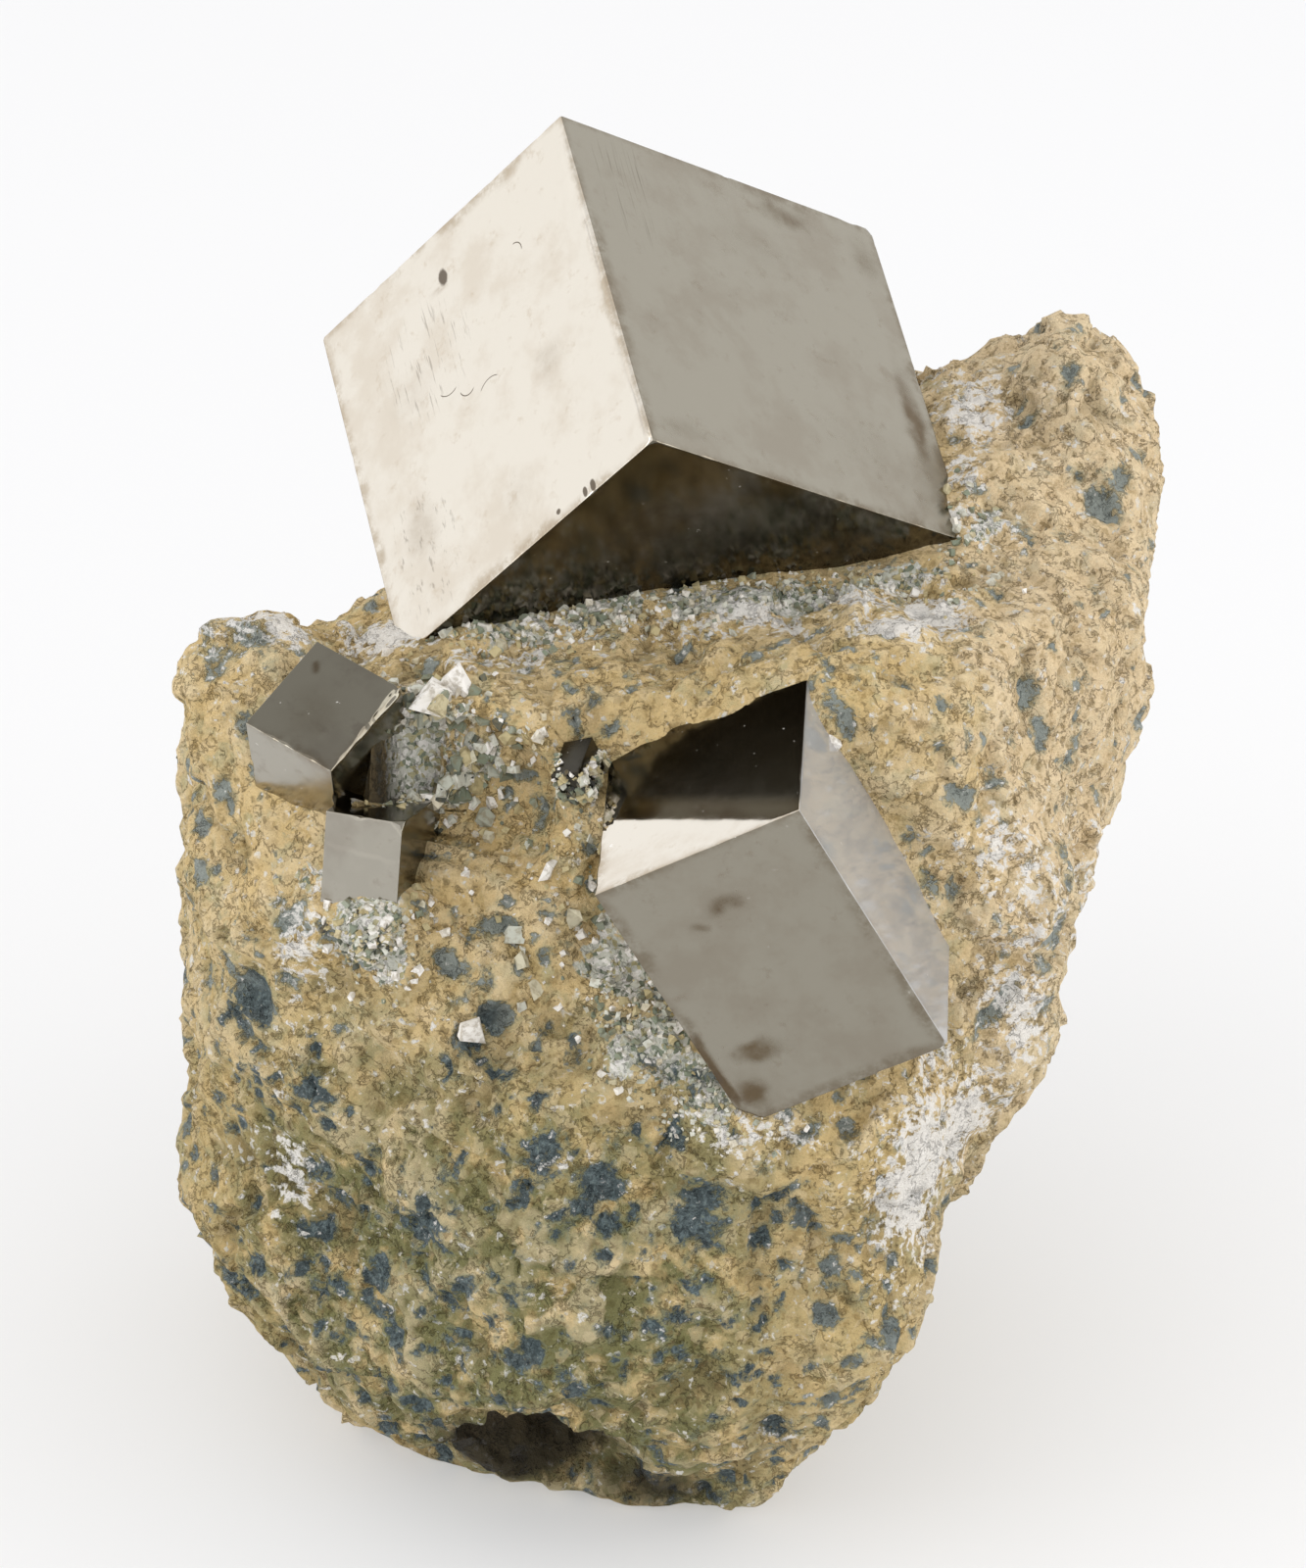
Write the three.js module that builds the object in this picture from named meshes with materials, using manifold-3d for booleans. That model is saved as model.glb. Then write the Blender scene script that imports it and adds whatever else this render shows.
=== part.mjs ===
// Pyrite cubes on matrix: metallic cubes grown in a lump of ochre marl.
// Millimetres, +Z up. The specimen stands on flat patches under its three feet.
// While it is worked out, X = Y = 0 is below the front corner of the large cube and
// +Y points away from the side that is shown; the finished group is centred on its box.

import * as THREE from 'three';
import { mergeVertices } from 'three/addons/utils/BufferGeometryUtils.js';
import Module from 'manifold-3d';

const wasm = await Module();
wasm.setup();

// Driving dimensions
const CELL = 3.2;           // spacing of the net that the rock's skin is drawn on
const SOCKET_GAP = 0.3;     // room between a crystal and the rock around it
const CUT_CLEARANCE = 0.3;  // least distance from a net corner to a cut
const FACET_ROUND = 3.2;    // how far the edges between fracture faces are worn round
const LOBE_BLEND = 5;       // width of the hollows where two lobes of rock meet
const SHELF_HEIGHT = 85;    // top of the rock round the large cube
const FRONT_WALL = -11.5;   // the upright wall behind the middle block
const LOBE_FRONT = -29.5;   // the foremost face, low on the front lobe
const LEFT_WALL = -43.3;
const RIGHT_WALL = 47;
const BACK_WALL = 50;
const BELOW_GROUND = -3.5;  // the rock is drawn down to here and then cut flat at Z = 0
const LUMP_PITCH = 10;      // spacing of the shallow scoops that the fractures left
const LUMP_DEPTH = 3.5;
const SWELL_PITCH = 24;     // slow swelling of the faces
const SWELL_DEPTH = 1.6;

// A crystal is a block: the corner that stands out, two edge directions with their
// lengths, and the length of the third edge, which is square to the first two.
const CRYSTALS = {
  large: {
    corner: [0, 0, 106.4],
    first: { toward: [-0.227, 0.856, 0.466], length: 37.6 },
    second: { toward: [0.735, 0.464, -0.495], length: 40.4 },
    third: 36.4,
  },
  middle: {
    corner: [12.6, -30.1, 85.9],
    first: { toward: [0.478, 0.039, -0.877], length: 28.2 },
    second: { toward: [-0.877, 0.085, -0.474], length: 20.2 },
    third: 22,
  },
  smallUpper: {
    corner: [-28.7, -14, 80.5],
    first: { toward: [-0.825, 0.517, 0.23], length: 9.5 },
    second: { toward: [0.565, 0.736, 0.373], length: 10.8 },
    third: 14,
  },
  smallLower: {
    corner: [-22.4, -14.8, 75.6],
    first: { toward: [-0.079, -0.24, -0.967], length: 8.6 },
    second: { toward: [-0.953, 0.303, 0.003], length: 7.3 },
    third: 12,
  },
  tiny: {
    corner: [-6.4, -14.6, 81.2],
    first: { toward: [0.42, 0.1, -0.9], length: 4.4 },
    second: { toward: [-0.86, 0.32, -0.4], length: 4.2 },
    third: 6,
  },
};

// Fracture faces, each by a point that it passes through and the way that it faces
const BACK_BLOCK = [
  { name: 'shelf', through: [0, 5, SHELF_HEIGHT], facing: [-0.03, -0.05, 1] },
  { name: 'shelf left', through: [-38, 6, 84.5], facing: [-0.12, -0.02, 0.99] },
  { name: 'brow', through: [0, -10, 83.5], facing: [-0.04, -0.5, 0.86] },
  { name: 'front wall', through: [0, FRONT_WALL, 75], facing: [0.03, -1, 0.02] },
  { name: 'front left corner', through: [-35, -6, 74], facing: [-0.62, -0.78, 0.05] },
  { name: 'left wall', through: [LEFT_WALL, 5, 60], facing: [-1, -0.08, 0.0] },
  { name: 'front right corner', through: [36, -3, 62], facing: [0.72, -0.68, 0.12] },
  { name: 'right wall', through: [44.3, 20, 62], facing: [0.986, -0.083, -0.144] },
  { name: 'back wall', through: [0, BACK_WALL, 60], facing: [0.06, 0.99, -0.04] },
  { name: 'back left corner', through: [-38, 44, 60], facing: [-0.75, 0.66, 0.02] },
  { name: 'back slope', through: [-25, 15, 85], facing: [-0.34, 0.61, 0.71] },
  { name: 'back undercut', through: [0, 44, 27], facing: [0.03, 0.88, -0.47] },
  { name: 'right undercut', through: [37, 20, 36], facing: [0.93, -0.18, -0.31] },
  { name: 'right heel', through: [26.8, 20, 18.2], facing: [0.88, -0.24, -0.41] },
  { name: 'left undercut', through: [-42, 10, 25], facing: [-0.94, -0.1, -0.32] },
  { name: 'left heel', through: [-34, 8, 3], facing: [-0.62, -0.25, -0.74] },
  { name: 'block base', through: [0, 0, BELOW_GROUND], facing: [0, 0, -1] },
];

const FRONT_LOBE = [
  { name: 'apron', through: [10, -27.5, 53], facing: [0.05, -0.62, 0.78] },
  { name: 'lobe front', through: [0, LOBE_FRONT, 38], facing: [0.02, -0.99, 0.1] },
  { name: 'lobe front left', through: [-33, -15, 40], facing: [-0.6, -0.79, 0.1] },
  { name: 'lobe left', through: [LEFT_WALL + 0.5, 5, 35], facing: [-1, -0.1, 0] },
  { name: 'lobe front right', through: [29, -19, 44], facing: [0.78, -0.6, 0.1] },
  { name: 'lobe right', through: [31.5, 0, 35], facing: [0.92, -0.2, -0.33] },
  { name: 'lobe back', through: [0, 1, 30], facing: [0, 1, 0] },
  { name: 'chin', through: [2, -28, 17], facing: [0.03, -0.9, -0.42] },
  { name: 'chin left', through: [-30, -13, 10], facing: [-0.62, -0.6, -0.5] },
  { name: 'chin right', through: [22, -18, 19], facing: [0.77, -0.32, -0.55] },
  { name: 'chin low right', through: [10, -18, 4], facing: [0.6, -0.4, -0.68] },
  { name: 'left cheek', through: [-42, 0, 24], facing: [-0.93, -0.2, -0.32] },
  { name: 'left foot', through: [-33, -3, 2], facing: [-0.62, -0.4, -0.68] },
  { name: 'lobe base', through: [0, 0, BELOW_GROUND], facing: [0, 0, -1] },
];

const FIN = [
  { name: 'fin face', through: [40, 33, 98], facing: [0.22, -0.76, 0.61] },
  { name: 'fin crest', through: [30, 38, 90], facing: [-0.15, -0.05, 0.99] },
  { name: 'fin crest right', through: [46, 38, 92.5], facing: [0.75, 0, 0.66] },
  { name: 'fin right', through: [RIGHT_WALL, 32, 72], facing: [0.99, 0, 0.14] },
  { name: 'fin right low', through: [46.5, 32, 60], facing: [0.95, -0.1, -0.3] },
  { name: 'fin left', through: [26, 40, 92], facing: [-0.8, 0, 0.6] },
  { name: 'fin inner end', through: [6, 40, 70], facing: [-1, 0, 0] },
  { name: 'slab front', through: [44, 6, 60], facing: [0.6, -0.8, 0.05] },
  { name: 'fin back', through: [40, 44, 98], facing: [0.1, 0.8, 0.59] },
  { name: 'fin back low', through: [38, 51, 75], facing: [0.12, 0.99, 0.05] },
  { name: 'fin under', through: [46, 25, 44], facing: [0.45, 0, -0.89] },
];

// Smaller forms that break the faces: a centre, half sizes, and how far each stands
// out of the rock or, with a minus sign, how far it is cut in
const FEATURES = [
  { name: 'arch between the feet', at: [-14.5, -20, 0], size: [7.5, 12, 9], height: -4.5 },
  { name: 'dimple under the lobe', at: [-3, -16, -2], size: [12, 12, 6], height: -2.5 },
  { name: 'notch in the left wall', at: [-45, -2, 50], size: [7, 14, 4.5], height: -2.6 },
  { name: 'spur over the notch', at: [-43, -3, 60], size: [6, 9, 7], height: 1.6 },
  { name: 'left shoulder', at: [-42, 0, 34], size: [9, 14, 9], height: 0.6 },
  { name: 'left upright ridge', at: [-33, -14, 58], size: [5, 6, 13], height: 2.2 },
  { name: 'hollow right of the ridge', at: [-22, -19, 52], size: [7, 6, 9], height: -1.8 },
  { name: 'lip below the small cubes', at: [-26, -15, 68], size: [6, 4.5, 4], height: 1.6 },
  { name: 'rim under the middle block', at: [10, -26, 49], size: [8, 5, 4.5], height: 2.2 },
  { name: 'pillow behind the middle block', at: [14, -10, 88], size: [11, 8, 6], height: 5.5 },
  { name: 'left end of the shelf', at: [-39, 5, 84], size: [7, 7, 5], height: 2.4 },
  { name: 'dip at the left of the large cube', at: [-27, 9, 82], size: [6, 8, 6], height: -3.4 },
  { name: 'peak of the fin', at: [40, 38, 96], size: [6.5, 10, 9], height: 6 },
  { name: 'bite out of the fin', at: [51, 38, 93], size: [5, 9, 6], height: -4 },
  { name: 'right foot', at: [6, -19, 2], size: [7, 6, 7], height: 3 },
  { name: 'bank at the right of the large cube', at: [33, 25, 89], size: [5, 9, 7], height: 2 },
  { name: 'crease before the right slab', at: [41, 2, 56], size: [5, 8, 22], height: -3 },
  { name: 'ridge on the right', at: [34, -8, 54], size: [5, 6, 16], height: 2.2 },
  { name: 'knob low on the right', at: [21, -14, 13], size: [4, 5, 3.5], height: 1.6 },
  { name: 'ledge across the chin', at: [4, -29, 27], size: [17, 5, 3.5], height: 1.4 },
  { name: 'step on the back', at: [-8, 51, 50], size: [20, 6, 5], height: -2.4 },
  { name: 'boss on the back', at: [14, 50, 42], size: [12, 7, 9], height: 1.6 },
  { name: 'pit on the back left', at: [-38, 44, 58], size: [8, 8, 7], height: -2.2 },
  { name: 'shallow hollow underneath', at: [-2, 12, 0], size: [15, 13, 5], height: -5.2 },
];

const NET_LOW = [-56, -42, -9];
const NET_HIGH = [60, 66, 113];

function smoothMax(a, b, width) {
  const h = Math.max(width - Math.abs(a - b), 0) / width;
  return Math.max(a, b) + h * h * width * 0.25;
}

function smoothMin(a, b, width) {
  return -smoothMax(-a, -b, width);
}

function planesOf(faces) {
  return faces.map(({ through, facing }) => {
    const normal = new THREE.Vector3(...facing).normalize();
    return { normal, offset: normal.dot(new THREE.Vector3(...through)) };
  });
}

function insideAll(planes, x, y, z) {
  let distance = -Infinity;
  for (const { normal, offset } of planes) {
    const d = normal.x * x + normal.y * y + normal.z * z - offset;
    distance = distance === -Infinity ? d : smoothMax(distance, d, FACET_ROUND);
  }
  return distance;
}

// A fixed number between 0 and 1 for each whole-number place
function scatter(i, j, k, seed) {
  let h = Math.imul(i, 374761393) + Math.imul(j, 668265263) + Math.imul(k, 2147483629);
  h = (h + Math.imul(seed, 1274126177)) | 0;
  h = Math.imul(h ^ (h >>> 13), 1103515245);
  h ^= h >>> 16;
  return (h >>> 0) / 4294967296;
}

// Distance to the nearest of many scattered points, in units of their spacing
function nearestPoint(x, y, z, pitch, seed) {
  const [u, v, w] = [x / pitch, y / pitch, z / pitch];
  const [iu, iv, iw] = [Math.floor(u), Math.floor(v), Math.floor(w)];
  let best = 9;
  for (let i = iu - 1; i <= iu + 1; i += 1) {
    for (let j = iv - 1; j <= iv + 1; j += 1) {
      for (let k = iw - 1; k <= iw + 1; k += 1) {
        const dx = i + scatter(i, j, k, seed) - u;
        const dy = j + scatter(i, j, k, seed + 1) - v;
        const dz = k + scatter(i, j, k, seed + 2) - w;
        best = Math.min(best, dx * dx + dy * dy + dz * dz);
      }
    }
  }
  return Math.sqrt(best);
}

// Smooth random swelling between -1 and 1
function swell(x, y, z, pitch, seed) {
  const [u, v, w] = [x / pitch, y / pitch, z / pitch];
  const [iu, iv, iw] = [Math.floor(u), Math.floor(v), Math.floor(w)];
  const ease = (t) => t * t * (3 - 2 * t);
  const [fu, fv, fw] = [ease(u - iu), ease(v - iv), ease(w - iw)];
  let sum = 0;
  for (let i = 0; i < 2; i += 1) {
    for (let j = 0; j < 2; j += 1) {
      for (let k = 0; k < 2; k += 1) {
        const weight = (i ? fu : 1 - fu) * (j ? fv : 1 - fv) * (k ? fw : 1 - fw);
        sum += weight * scatter(iu + i, iv + j, iw + k, seed);
      }
    }
  }
  return sum * 2 - 1;
}

function featureHeight(x, y, z) {
  let height = 0;
  for (const { at, size, height: full } of FEATURES) {
    const dx = (x - at[0]) / size[0];
    const dy = (y - at[1]) / size[1];
    const dz = (z - at[2]) / size[2];
    height += full * Math.exp(-(dx * dx + dy * dy + dz * dz));
  }
  return height;
}

const backBlock = planesOf(BACK_BLOCK);
const frontLobe = planesOf(FRONT_LOBE);
const fin = planesOf(FIN);

// Signed distance to the rock's skin, below zero inside the rock
function rockField(x, y, z) {
  let d = insideAll(backBlock, x, y, z);
  d = smoothMin(d, insideAll(frontLobe, x, y, z), LOBE_BLEND);
  d = smoothMin(d, insideAll(fin, x, y, z), LOBE_BLEND);
  const scoops = LUMP_DEPTH * (0.55 - nearestPoint(x, y, z, LUMP_PITCH, 11));
  const waves = SWELL_DEPTH * swell(x, y, z, SWELL_PITCH, 5);
  return d + scoops - waves - featureHeight(x, y, z);
}

// Closed skin of a field: one corner in each cell that the skin crosses, and one
// four-sided face round each net line that it crosses
function skinOf(field, low, high, cell) {
  const count = low.map((v, i) => Math.ceil((high[i] - v) / cell) + 1);
  const at = (i, j, k) => (k * count[1] + j) * count[0] + i;
  const values = new Float64Array(count[0] * count[1] * count[2]);
  for (let k = 0; k < count[2]; k += 1) {
    for (let j = 0; j < count[1]; j += 1) {
      for (let i = 0; i < count[0]; i += 1) {
        values[at(i, j, k)] = field(low[0] + i * cell, low[1] + j * cell, low[2] + k * cell);
      }
    }
  }
  fillPinches(values, count, at);
  const corners = [];
  const cornerOf = new Map();
  const cellCorner = (i, j, k) => {
    const key = at(i, j, k);
    if (!cornerOf.has(key)) {
      cornerOf.set(key, corners.length / 3);
      corners.push(...meanCrossing(values, at, i, j, k).map((v, n) => low[n] + v * cell));
    }
    return cornerOf.get(key);
  };
  const triangles = [];
  const addFace = (a, b, c, d, outward) => {
    const ring = outward ? [a, b, c, d] : [d, c, b, a];
    triangles.push(ring[0], ring[1], ring[2], ring[0], ring[2], ring[3]);
  };
  for (let k = 1; k < count[2] - 1; k += 1) {
    for (let j = 1; j < count[1] - 1; j += 1) {
      for (let i = 1; i < count[0] - 1; i += 1) {
        const here = values[at(i, j, k)] < 0;
        if (here !== values[at(i + 1, j, k)] < 0) {
          addFace(cellCorner(i, j - 1, k - 1), cellCorner(i, j, k - 1),
            cellCorner(i, j, k), cellCorner(i, j - 1, k), here);
        }
        if (here !== values[at(i, j + 1, k)] < 0) {
          addFace(cellCorner(i - 1, j, k - 1), cellCorner(i - 1, j, k),
            cellCorner(i, j, k), cellCorner(i, j, k - 1), here);
        }
        if (here !== values[at(i, j, k + 1)] < 0) {
          addFace(cellCorner(i - 1, j - 1, k), cellCorner(i, j - 1, k),
            cellCorner(i, j, k), cellCorner(i - 1, j, k), here);
        }
      }
    }
  }
  const geometry = new THREE.BufferGeometry();
  geometry.setAttribute('position', new THREE.Float32BufferAttribute(corners, 3));
  geometry.setIndex(triangles);
  return geometry;
}

// Where the corners of a net square lie in and out by turns, two sheets of skin would
// meet in one line: the outer corner nearest to the skin is filled, until none is left
function fillPinches(values, count, at) {
  const sides = [[1, 0, 0], [0, 1, 0], [0, 0, 1]];
  const squareAt = (i, j, k, [a, b, c], [d, e, f]) => [
    at(i, j, k), at(i + a, j + b, k + c),
    at(i + a + d, j + b + e, k + c + f), at(i + d, j + e, k + f),
  ];
  let pinched = true;
  while (pinched) {
    pinched = false;
    for (let k = 0; k < count[2] - 1; k += 1) {
      for (let j = 0; j < count[1] - 1; j += 1) {
        for (let i = 0; i < count[0] - 1; i += 1) {
          for (let n = 0; n < 3; n += 1) {
            const square = squareAt(i, j, k, sides[n], sides[(n + 1) % 3]);
            const inside = square.map((c) => values[c] < 0);
            const turns = inside[0] === inside[2] && inside[1] === inside[3];
            if (turns && inside[0] !== inside[1]) {
              const outer = inside[0] ? [square[1], square[3]] : [square[0], square[2]];
              outer.sort((p, q) => values[p] - values[q]);
              values[outer[0]] = -values[outer[0]] - 0.01;
              pinched = true;
            }
          }
        }
      }
    }
  }
}

// Mean place, in net units, of the points where the skin crosses a cell's twelve edges
function meanCrossing(values, at, i, j, k) {
  const sum = [0, 0, 0];
  let crossings = 0;
  for (let axis = 0; axis < 3; axis += 1) {
    for (let side = 0; side < 4; side += 1) {
      const start = [i, j, k];
      start[(axis + 1) % 3] += side & 1;
      start[(axis + 2) % 3] += side >> 1;
      const end = [...start];
      end[axis] += 1;
      const a = values[at(...start)];
      const b = values[at(...end)];
      if (a < 0 !== b < 0) {
        const crossing = [...start];
        crossing[axis] += a / (a - b);
        crossing.forEach((v, n) => { sum[n] += v; });
        crossings += 1;
      }
    }
  }
  return sum.map((v) => v / crossings);
}

// Net corners that lie almost on a cut are moved off it, so that no cut leaves a sliver
function clearOfCuts(geometry, blocks) {
  const places = geometry.attributes.position;
  const v = new THREE.Vector3();
  const clear = (value, cut) => {
    const gap = value - cut;
    return Math.abs(gap) < CUT_CLEARANCE ? cut + (gap < 0 ? -CUT_CLEARANCE : CUT_CLEARANCE) : value;
  };
  for (let n = 0; n < places.count; n += 1) {
    v.fromBufferAttribute(places, n);
    for (const { frame, inverse, low, high } of blocks) {
      v.applyMatrix4(inverse);
      const near = v.toArray().every((c, i) => c > low[i] - CELL && c < high[i] + CELL);
      if (near) {
        v.fromArray(v.toArray().map((c, i) => clear(clear(c, low[i]), high[i])));
      }
      v.applyMatrix4(frame);
    }
    v.z = clear(v.z, 0);
    places.setXYZ(n, v.x, v.y, v.z);
  }
  return geometry;
}

function solidOf(geometry) {
  const bare = geometry.clone();
  bare.deleteAttribute('normal');
  bare.deleteAttribute('uv');
  const merged = mergeVertices(bare, 1e-4);
  return new wasm.Manifold(new wasm.Mesh({
    numProp: 3,
    vertProperties: new Float32Array(merged.attributes.position.array),
    triVerts: new Uint32Array(merged.index.array),
  }));
}

function geometryOf(solid) {
  const mesh = solid.getMesh();
  const geometry = new THREE.BufferGeometry();
  geometry.setAttribute('position', new THREE.BufferAttribute(mesh.vertProperties, 3));
  geometry.setIndex(new THREE.BufferAttribute(mesh.triVerts, 1));
  return geometry;
}

// The frame of a crystal: its outstanding corner and its three edge directions
function crystalFrame({ corner, first, second }) {
  const a = new THREE.Vector3(...first.toward).normalize();
  const b = new THREE.Vector3(...second.toward);
  b.addScaledVector(a, -a.dot(b)).normalize();
  const c = new THREE.Vector3().crossVectors(a, b);
  const frame = new THREE.Matrix4().makeBasis(a, b, c);
  return frame.setPosition(...corner);
}

// A block in a crystal's own frame, from one corner to the opposite one
function blockIn(frame, from, to) {
  const size = to.map((v, n) => v - from[n]);
  const block = new THREE.BoxGeometry(...size);
  block.translate(...from.map((v, n) => v + size[n] / 2));
  return block.applyMatrix4(frame);
}

function crystalSize(crystal) {
  return [crystal.first.length, crystal.second.length, crystal.third];
}

function crystalBlock(crystal) {
  return blockIn(crystalFrame(crystal), [0, 0, 0], crystalSize(crystal));
}

// The hollow that a crystal sits in
function socket(crystal) {
  const frame = crystalFrame(crystal);
  return {
    frame,
    inverse: frame.clone().invert(),
    low: [-SOCKET_GAP, -SOCKET_GAP, -SOCKET_GAP],
    high: crystalSize(crystal).map((v) => v + SOCKET_GAP),
  };
}

// A corner or edge knocked off: a slanted block set over it and cut away
function chip(crystal, place, tilt, size) {
  const block = new THREE.BoxGeometry(...size);
  block.applyMatrix4(new THREE.Matrix4().makeRotationFromEuler(new THREE.Euler(...tilt)));
  block.translate(...place);
  return solidOf(block.applyMatrix4(crystalFrame(crystal)));
}

// The large cube: a thin growth plate along its upright edge and two worn corners
function largeCube() {
  const crystal = CRYSTALS.large;
  const [a, b] = [crystal.first.length, crystal.second.length];
  const plate = blockIn(crystalFrame(crystal), [0.6, -0.25, 0.4], [a - 1.5, 3, 3.4]);
  return solidOf(crystalBlock(crystal))
    .add(solidOf(plate))
    .subtract(chip(crystal, [a, b, 0], [0.5, 0.6, 0.78], [2.2, 2.2, 2.2]))
    .subtract(chip(crystal, [a, 0, crystal.third], [0.3, 0.7, 0.78], [1.2, 1.2, 1.2]));
}

// The middle block: one buried end, its lower corner knocked off
function middleCube() {
  const crystal = CRYSTALS.middle;
  const [a, b] = [crystal.first.length, crystal.second.length];
  return solidOf(crystalBlock(crystal))
    .subtract(chip(crystal, [a, b, 0], [0.4, 0.5, 0.78], [4.2, 4.2, 4.2]));
}

// Two small cubes that have grown into each other
function smallCubes() {
  const upper = CRYSTALS.smallUpper;
  return solidOf(crystalBlock(upper))
    .add(solidOf(crystalBlock(CRYSTALS.smallLower)))
    .subtract(chip(upper, [0, 6, 0], [0, 0.78, 0], [0.9, 8, 0.9]));
}

function tinyCube() {
  return solidOf(crystalBlock(CRYSTALS.tiny));
}

// The rock, cut flat under its feet and hollowed for each crystal
function matrixRock() {
  const ground = new THREE.BoxGeometry(300, 300, 60);
  ground.translate(0, 0, -30);
  const sockets = Object.values(CRYSTALS).map(socket);
  const skin = clearOfCuts(skinOf(rockField, NET_LOW, NET_HIGH, CELL), sockets);
  let rock = solidOf(skin).subtract(solidOf(ground));
  for (const { frame, low, high } of sockets) {
    rock = rock.subtract(solidOf(blockIn(frame, low, high)));
  }
  return rock;
}

function piece(name, solid, material) {
  const mesh = new THREE.Mesh(geometryOf(solid), new THREE.MeshStandardMaterial(material));
  mesh.name = name;
  return mesh;
}

const MARL = { color: 0xb09560, roughness: 0.95, metalness: 0 };
const PYRITE = { color: 0xb4afa3, roughness: 0.2, metalness: 1 };
const DARK_PYRITE = { color: 0x8d877c, roughness: 0.28, metalness: 1 };

const specimen = new THREE.Group();
specimen.add(
  piece('matrix', matrixRock(), MARL),
  piece('large_cube', largeCube(), PYRITE),
  piece('middle_cube', middleCube(), PYRITE),
  piece('small_cubes', smallCubes(), DARK_PYRITE),
  piece('tiny_cube', tinyCube(), DARK_PYRITE),
);

const box = new THREE.Box3().setFromObject(specimen);
const middle = box.getCenter(new THREE.Vector3());
specimen.position.set(-middle.x, -middle.y, 0);

export default specimen;
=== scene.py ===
import math

import bmesh
import bpy
import numpy as np
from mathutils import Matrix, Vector


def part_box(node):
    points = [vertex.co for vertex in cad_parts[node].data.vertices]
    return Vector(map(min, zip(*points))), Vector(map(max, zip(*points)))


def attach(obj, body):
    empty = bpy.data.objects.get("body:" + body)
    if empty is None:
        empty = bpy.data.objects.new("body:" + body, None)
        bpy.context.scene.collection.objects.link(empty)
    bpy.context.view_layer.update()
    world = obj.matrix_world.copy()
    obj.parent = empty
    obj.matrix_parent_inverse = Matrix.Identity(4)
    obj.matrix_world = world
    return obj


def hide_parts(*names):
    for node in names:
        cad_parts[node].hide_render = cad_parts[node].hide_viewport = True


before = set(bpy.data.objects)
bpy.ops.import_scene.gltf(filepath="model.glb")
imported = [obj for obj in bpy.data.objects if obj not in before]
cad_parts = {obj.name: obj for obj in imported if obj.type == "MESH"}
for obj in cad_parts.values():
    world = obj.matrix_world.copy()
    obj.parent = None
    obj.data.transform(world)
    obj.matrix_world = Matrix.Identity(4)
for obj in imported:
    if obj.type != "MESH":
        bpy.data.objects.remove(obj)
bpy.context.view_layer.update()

MM = 0.001

# The crystals, in millimetres: the corner that stands out, two edge directions, and
# the three edge lengths. X = Y = 0 is below the front corner of the large cube here.
CRYSTALS = {
    "large": dict(corner=(0, 0, 106.4), first=(-0.227, 0.856, 0.466),
                  second=(0.735, 0.464, -0.495), size=(37.6, 40.4, 36.4)),
    "middle": dict(corner=(12.6, -30.1, 85.9), first=(0.478, 0.039, -0.877),
                   second=(-0.877, 0.085, -0.474), size=(28.2, 20.2, 22)),
    "small_upper": dict(corner=(-28.7, -14, 80.5), first=(-0.825, 0.517, 0.23),
                        second=(0.565, 0.736, 0.373), size=(9.5, 10.8, 14)),
    "small_lower": dict(corner=(-22.4, -14.8, 75.6), first=(-0.079, -0.24, -0.967),
                        second=(-0.953, 0.303, 0.003), size=(8.6, 7.3, 12)),
    "tiny": dict(corner=(-6.4, -14.6, 81.2), first=(0.42, 0.1, -0.9),
                 second=(-0.86, 0.32, -0.4), size=(4.4, 4.2, 6)),
}
# Also in millimetres: the gap between a CAD socket and its crystal, the rock's mesh size on
# the far side, how deep the tiny crystal's dressed corner lies in its CAD one, the height up
# to which grit covers it, an edge's least radius, and how far the floor lies below the rock
SOCKET_GAP = 0.3
ROCK_VOXEL = 1.03
TINY_SUNK = 1.3
TINY_GRIT_TOP = 79.4
EDGE_RADIUS = 0.07
FLOOR_GAP = 0.02
FLOOR_HALF = 3000

# Camera of the photograph, in the crystals' millimetres
CAMERA_AT = (0, -438, 324)
CAMERA_ELEVATION = 30
CAMERA_LENS = 126
CAMERA_SENSOR = 36
TOWARD_CAMERA = (0, -0.866, 0.5)


def smoothstep(value, low, high):
    t = np.clip((value - low) / (high - low), 0, 1)
    return t * t * (3 - 2 * t)


def scatter(i, j, k, seed):
    """A fixed number from 0 to 1 for each whole-number place."""
    h = i.astype(np.int64) * 374761393 + j.astype(np.int64) * 668265263
    h = (h + k.astype(np.int64) * 2147483629 + seed * 1274126177) & 0xFFFFFFFF
    h = ((h ^ (h >> 13)) * 1103515245) & 0xFFFFFFFF
    h = (h ^ (h >> 16)) & 0xFFFFFFFF
    return h / 4294967296.0


def swell(p, pitch, seed):
    """Smooth noise from -1 to 1."""
    q = p / pitch
    cell = np.floor(q)
    f = q - cell
    f = f * f * (3 - 2 * f)
    total = np.zeros(len(p))
    for i in (0, 1):
        for j in (0, 1):
            for k in (0, 1):
                weight = np.ones(len(p))
                for axis, side in enumerate((i, j, k)):
                    weight = weight * (f[:, axis] if side else 1 - f[:, axis])
                value = scatter(cell[:, 0] + i, cell[:, 1] + j, cell[:, 2] + k, seed)
                total += weight * value
    return total * 2 - 1


def rough_swell(p, pitch, seed, layers=3):
    total = np.zeros(len(p))
    height = 1.0
    for layer in range(layers):
        total += height * swell(p, pitch / 2 ** layer, seed + layer)
        height *= 0.5
    return total


def wander(p, pitch, amount, seed):
    """The points, each pushed about by smooth noise."""
    push = [swell(p, pitch, seed + axis) for axis in range(3)]
    return p + amount * np.stack(push, axis=1)


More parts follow.
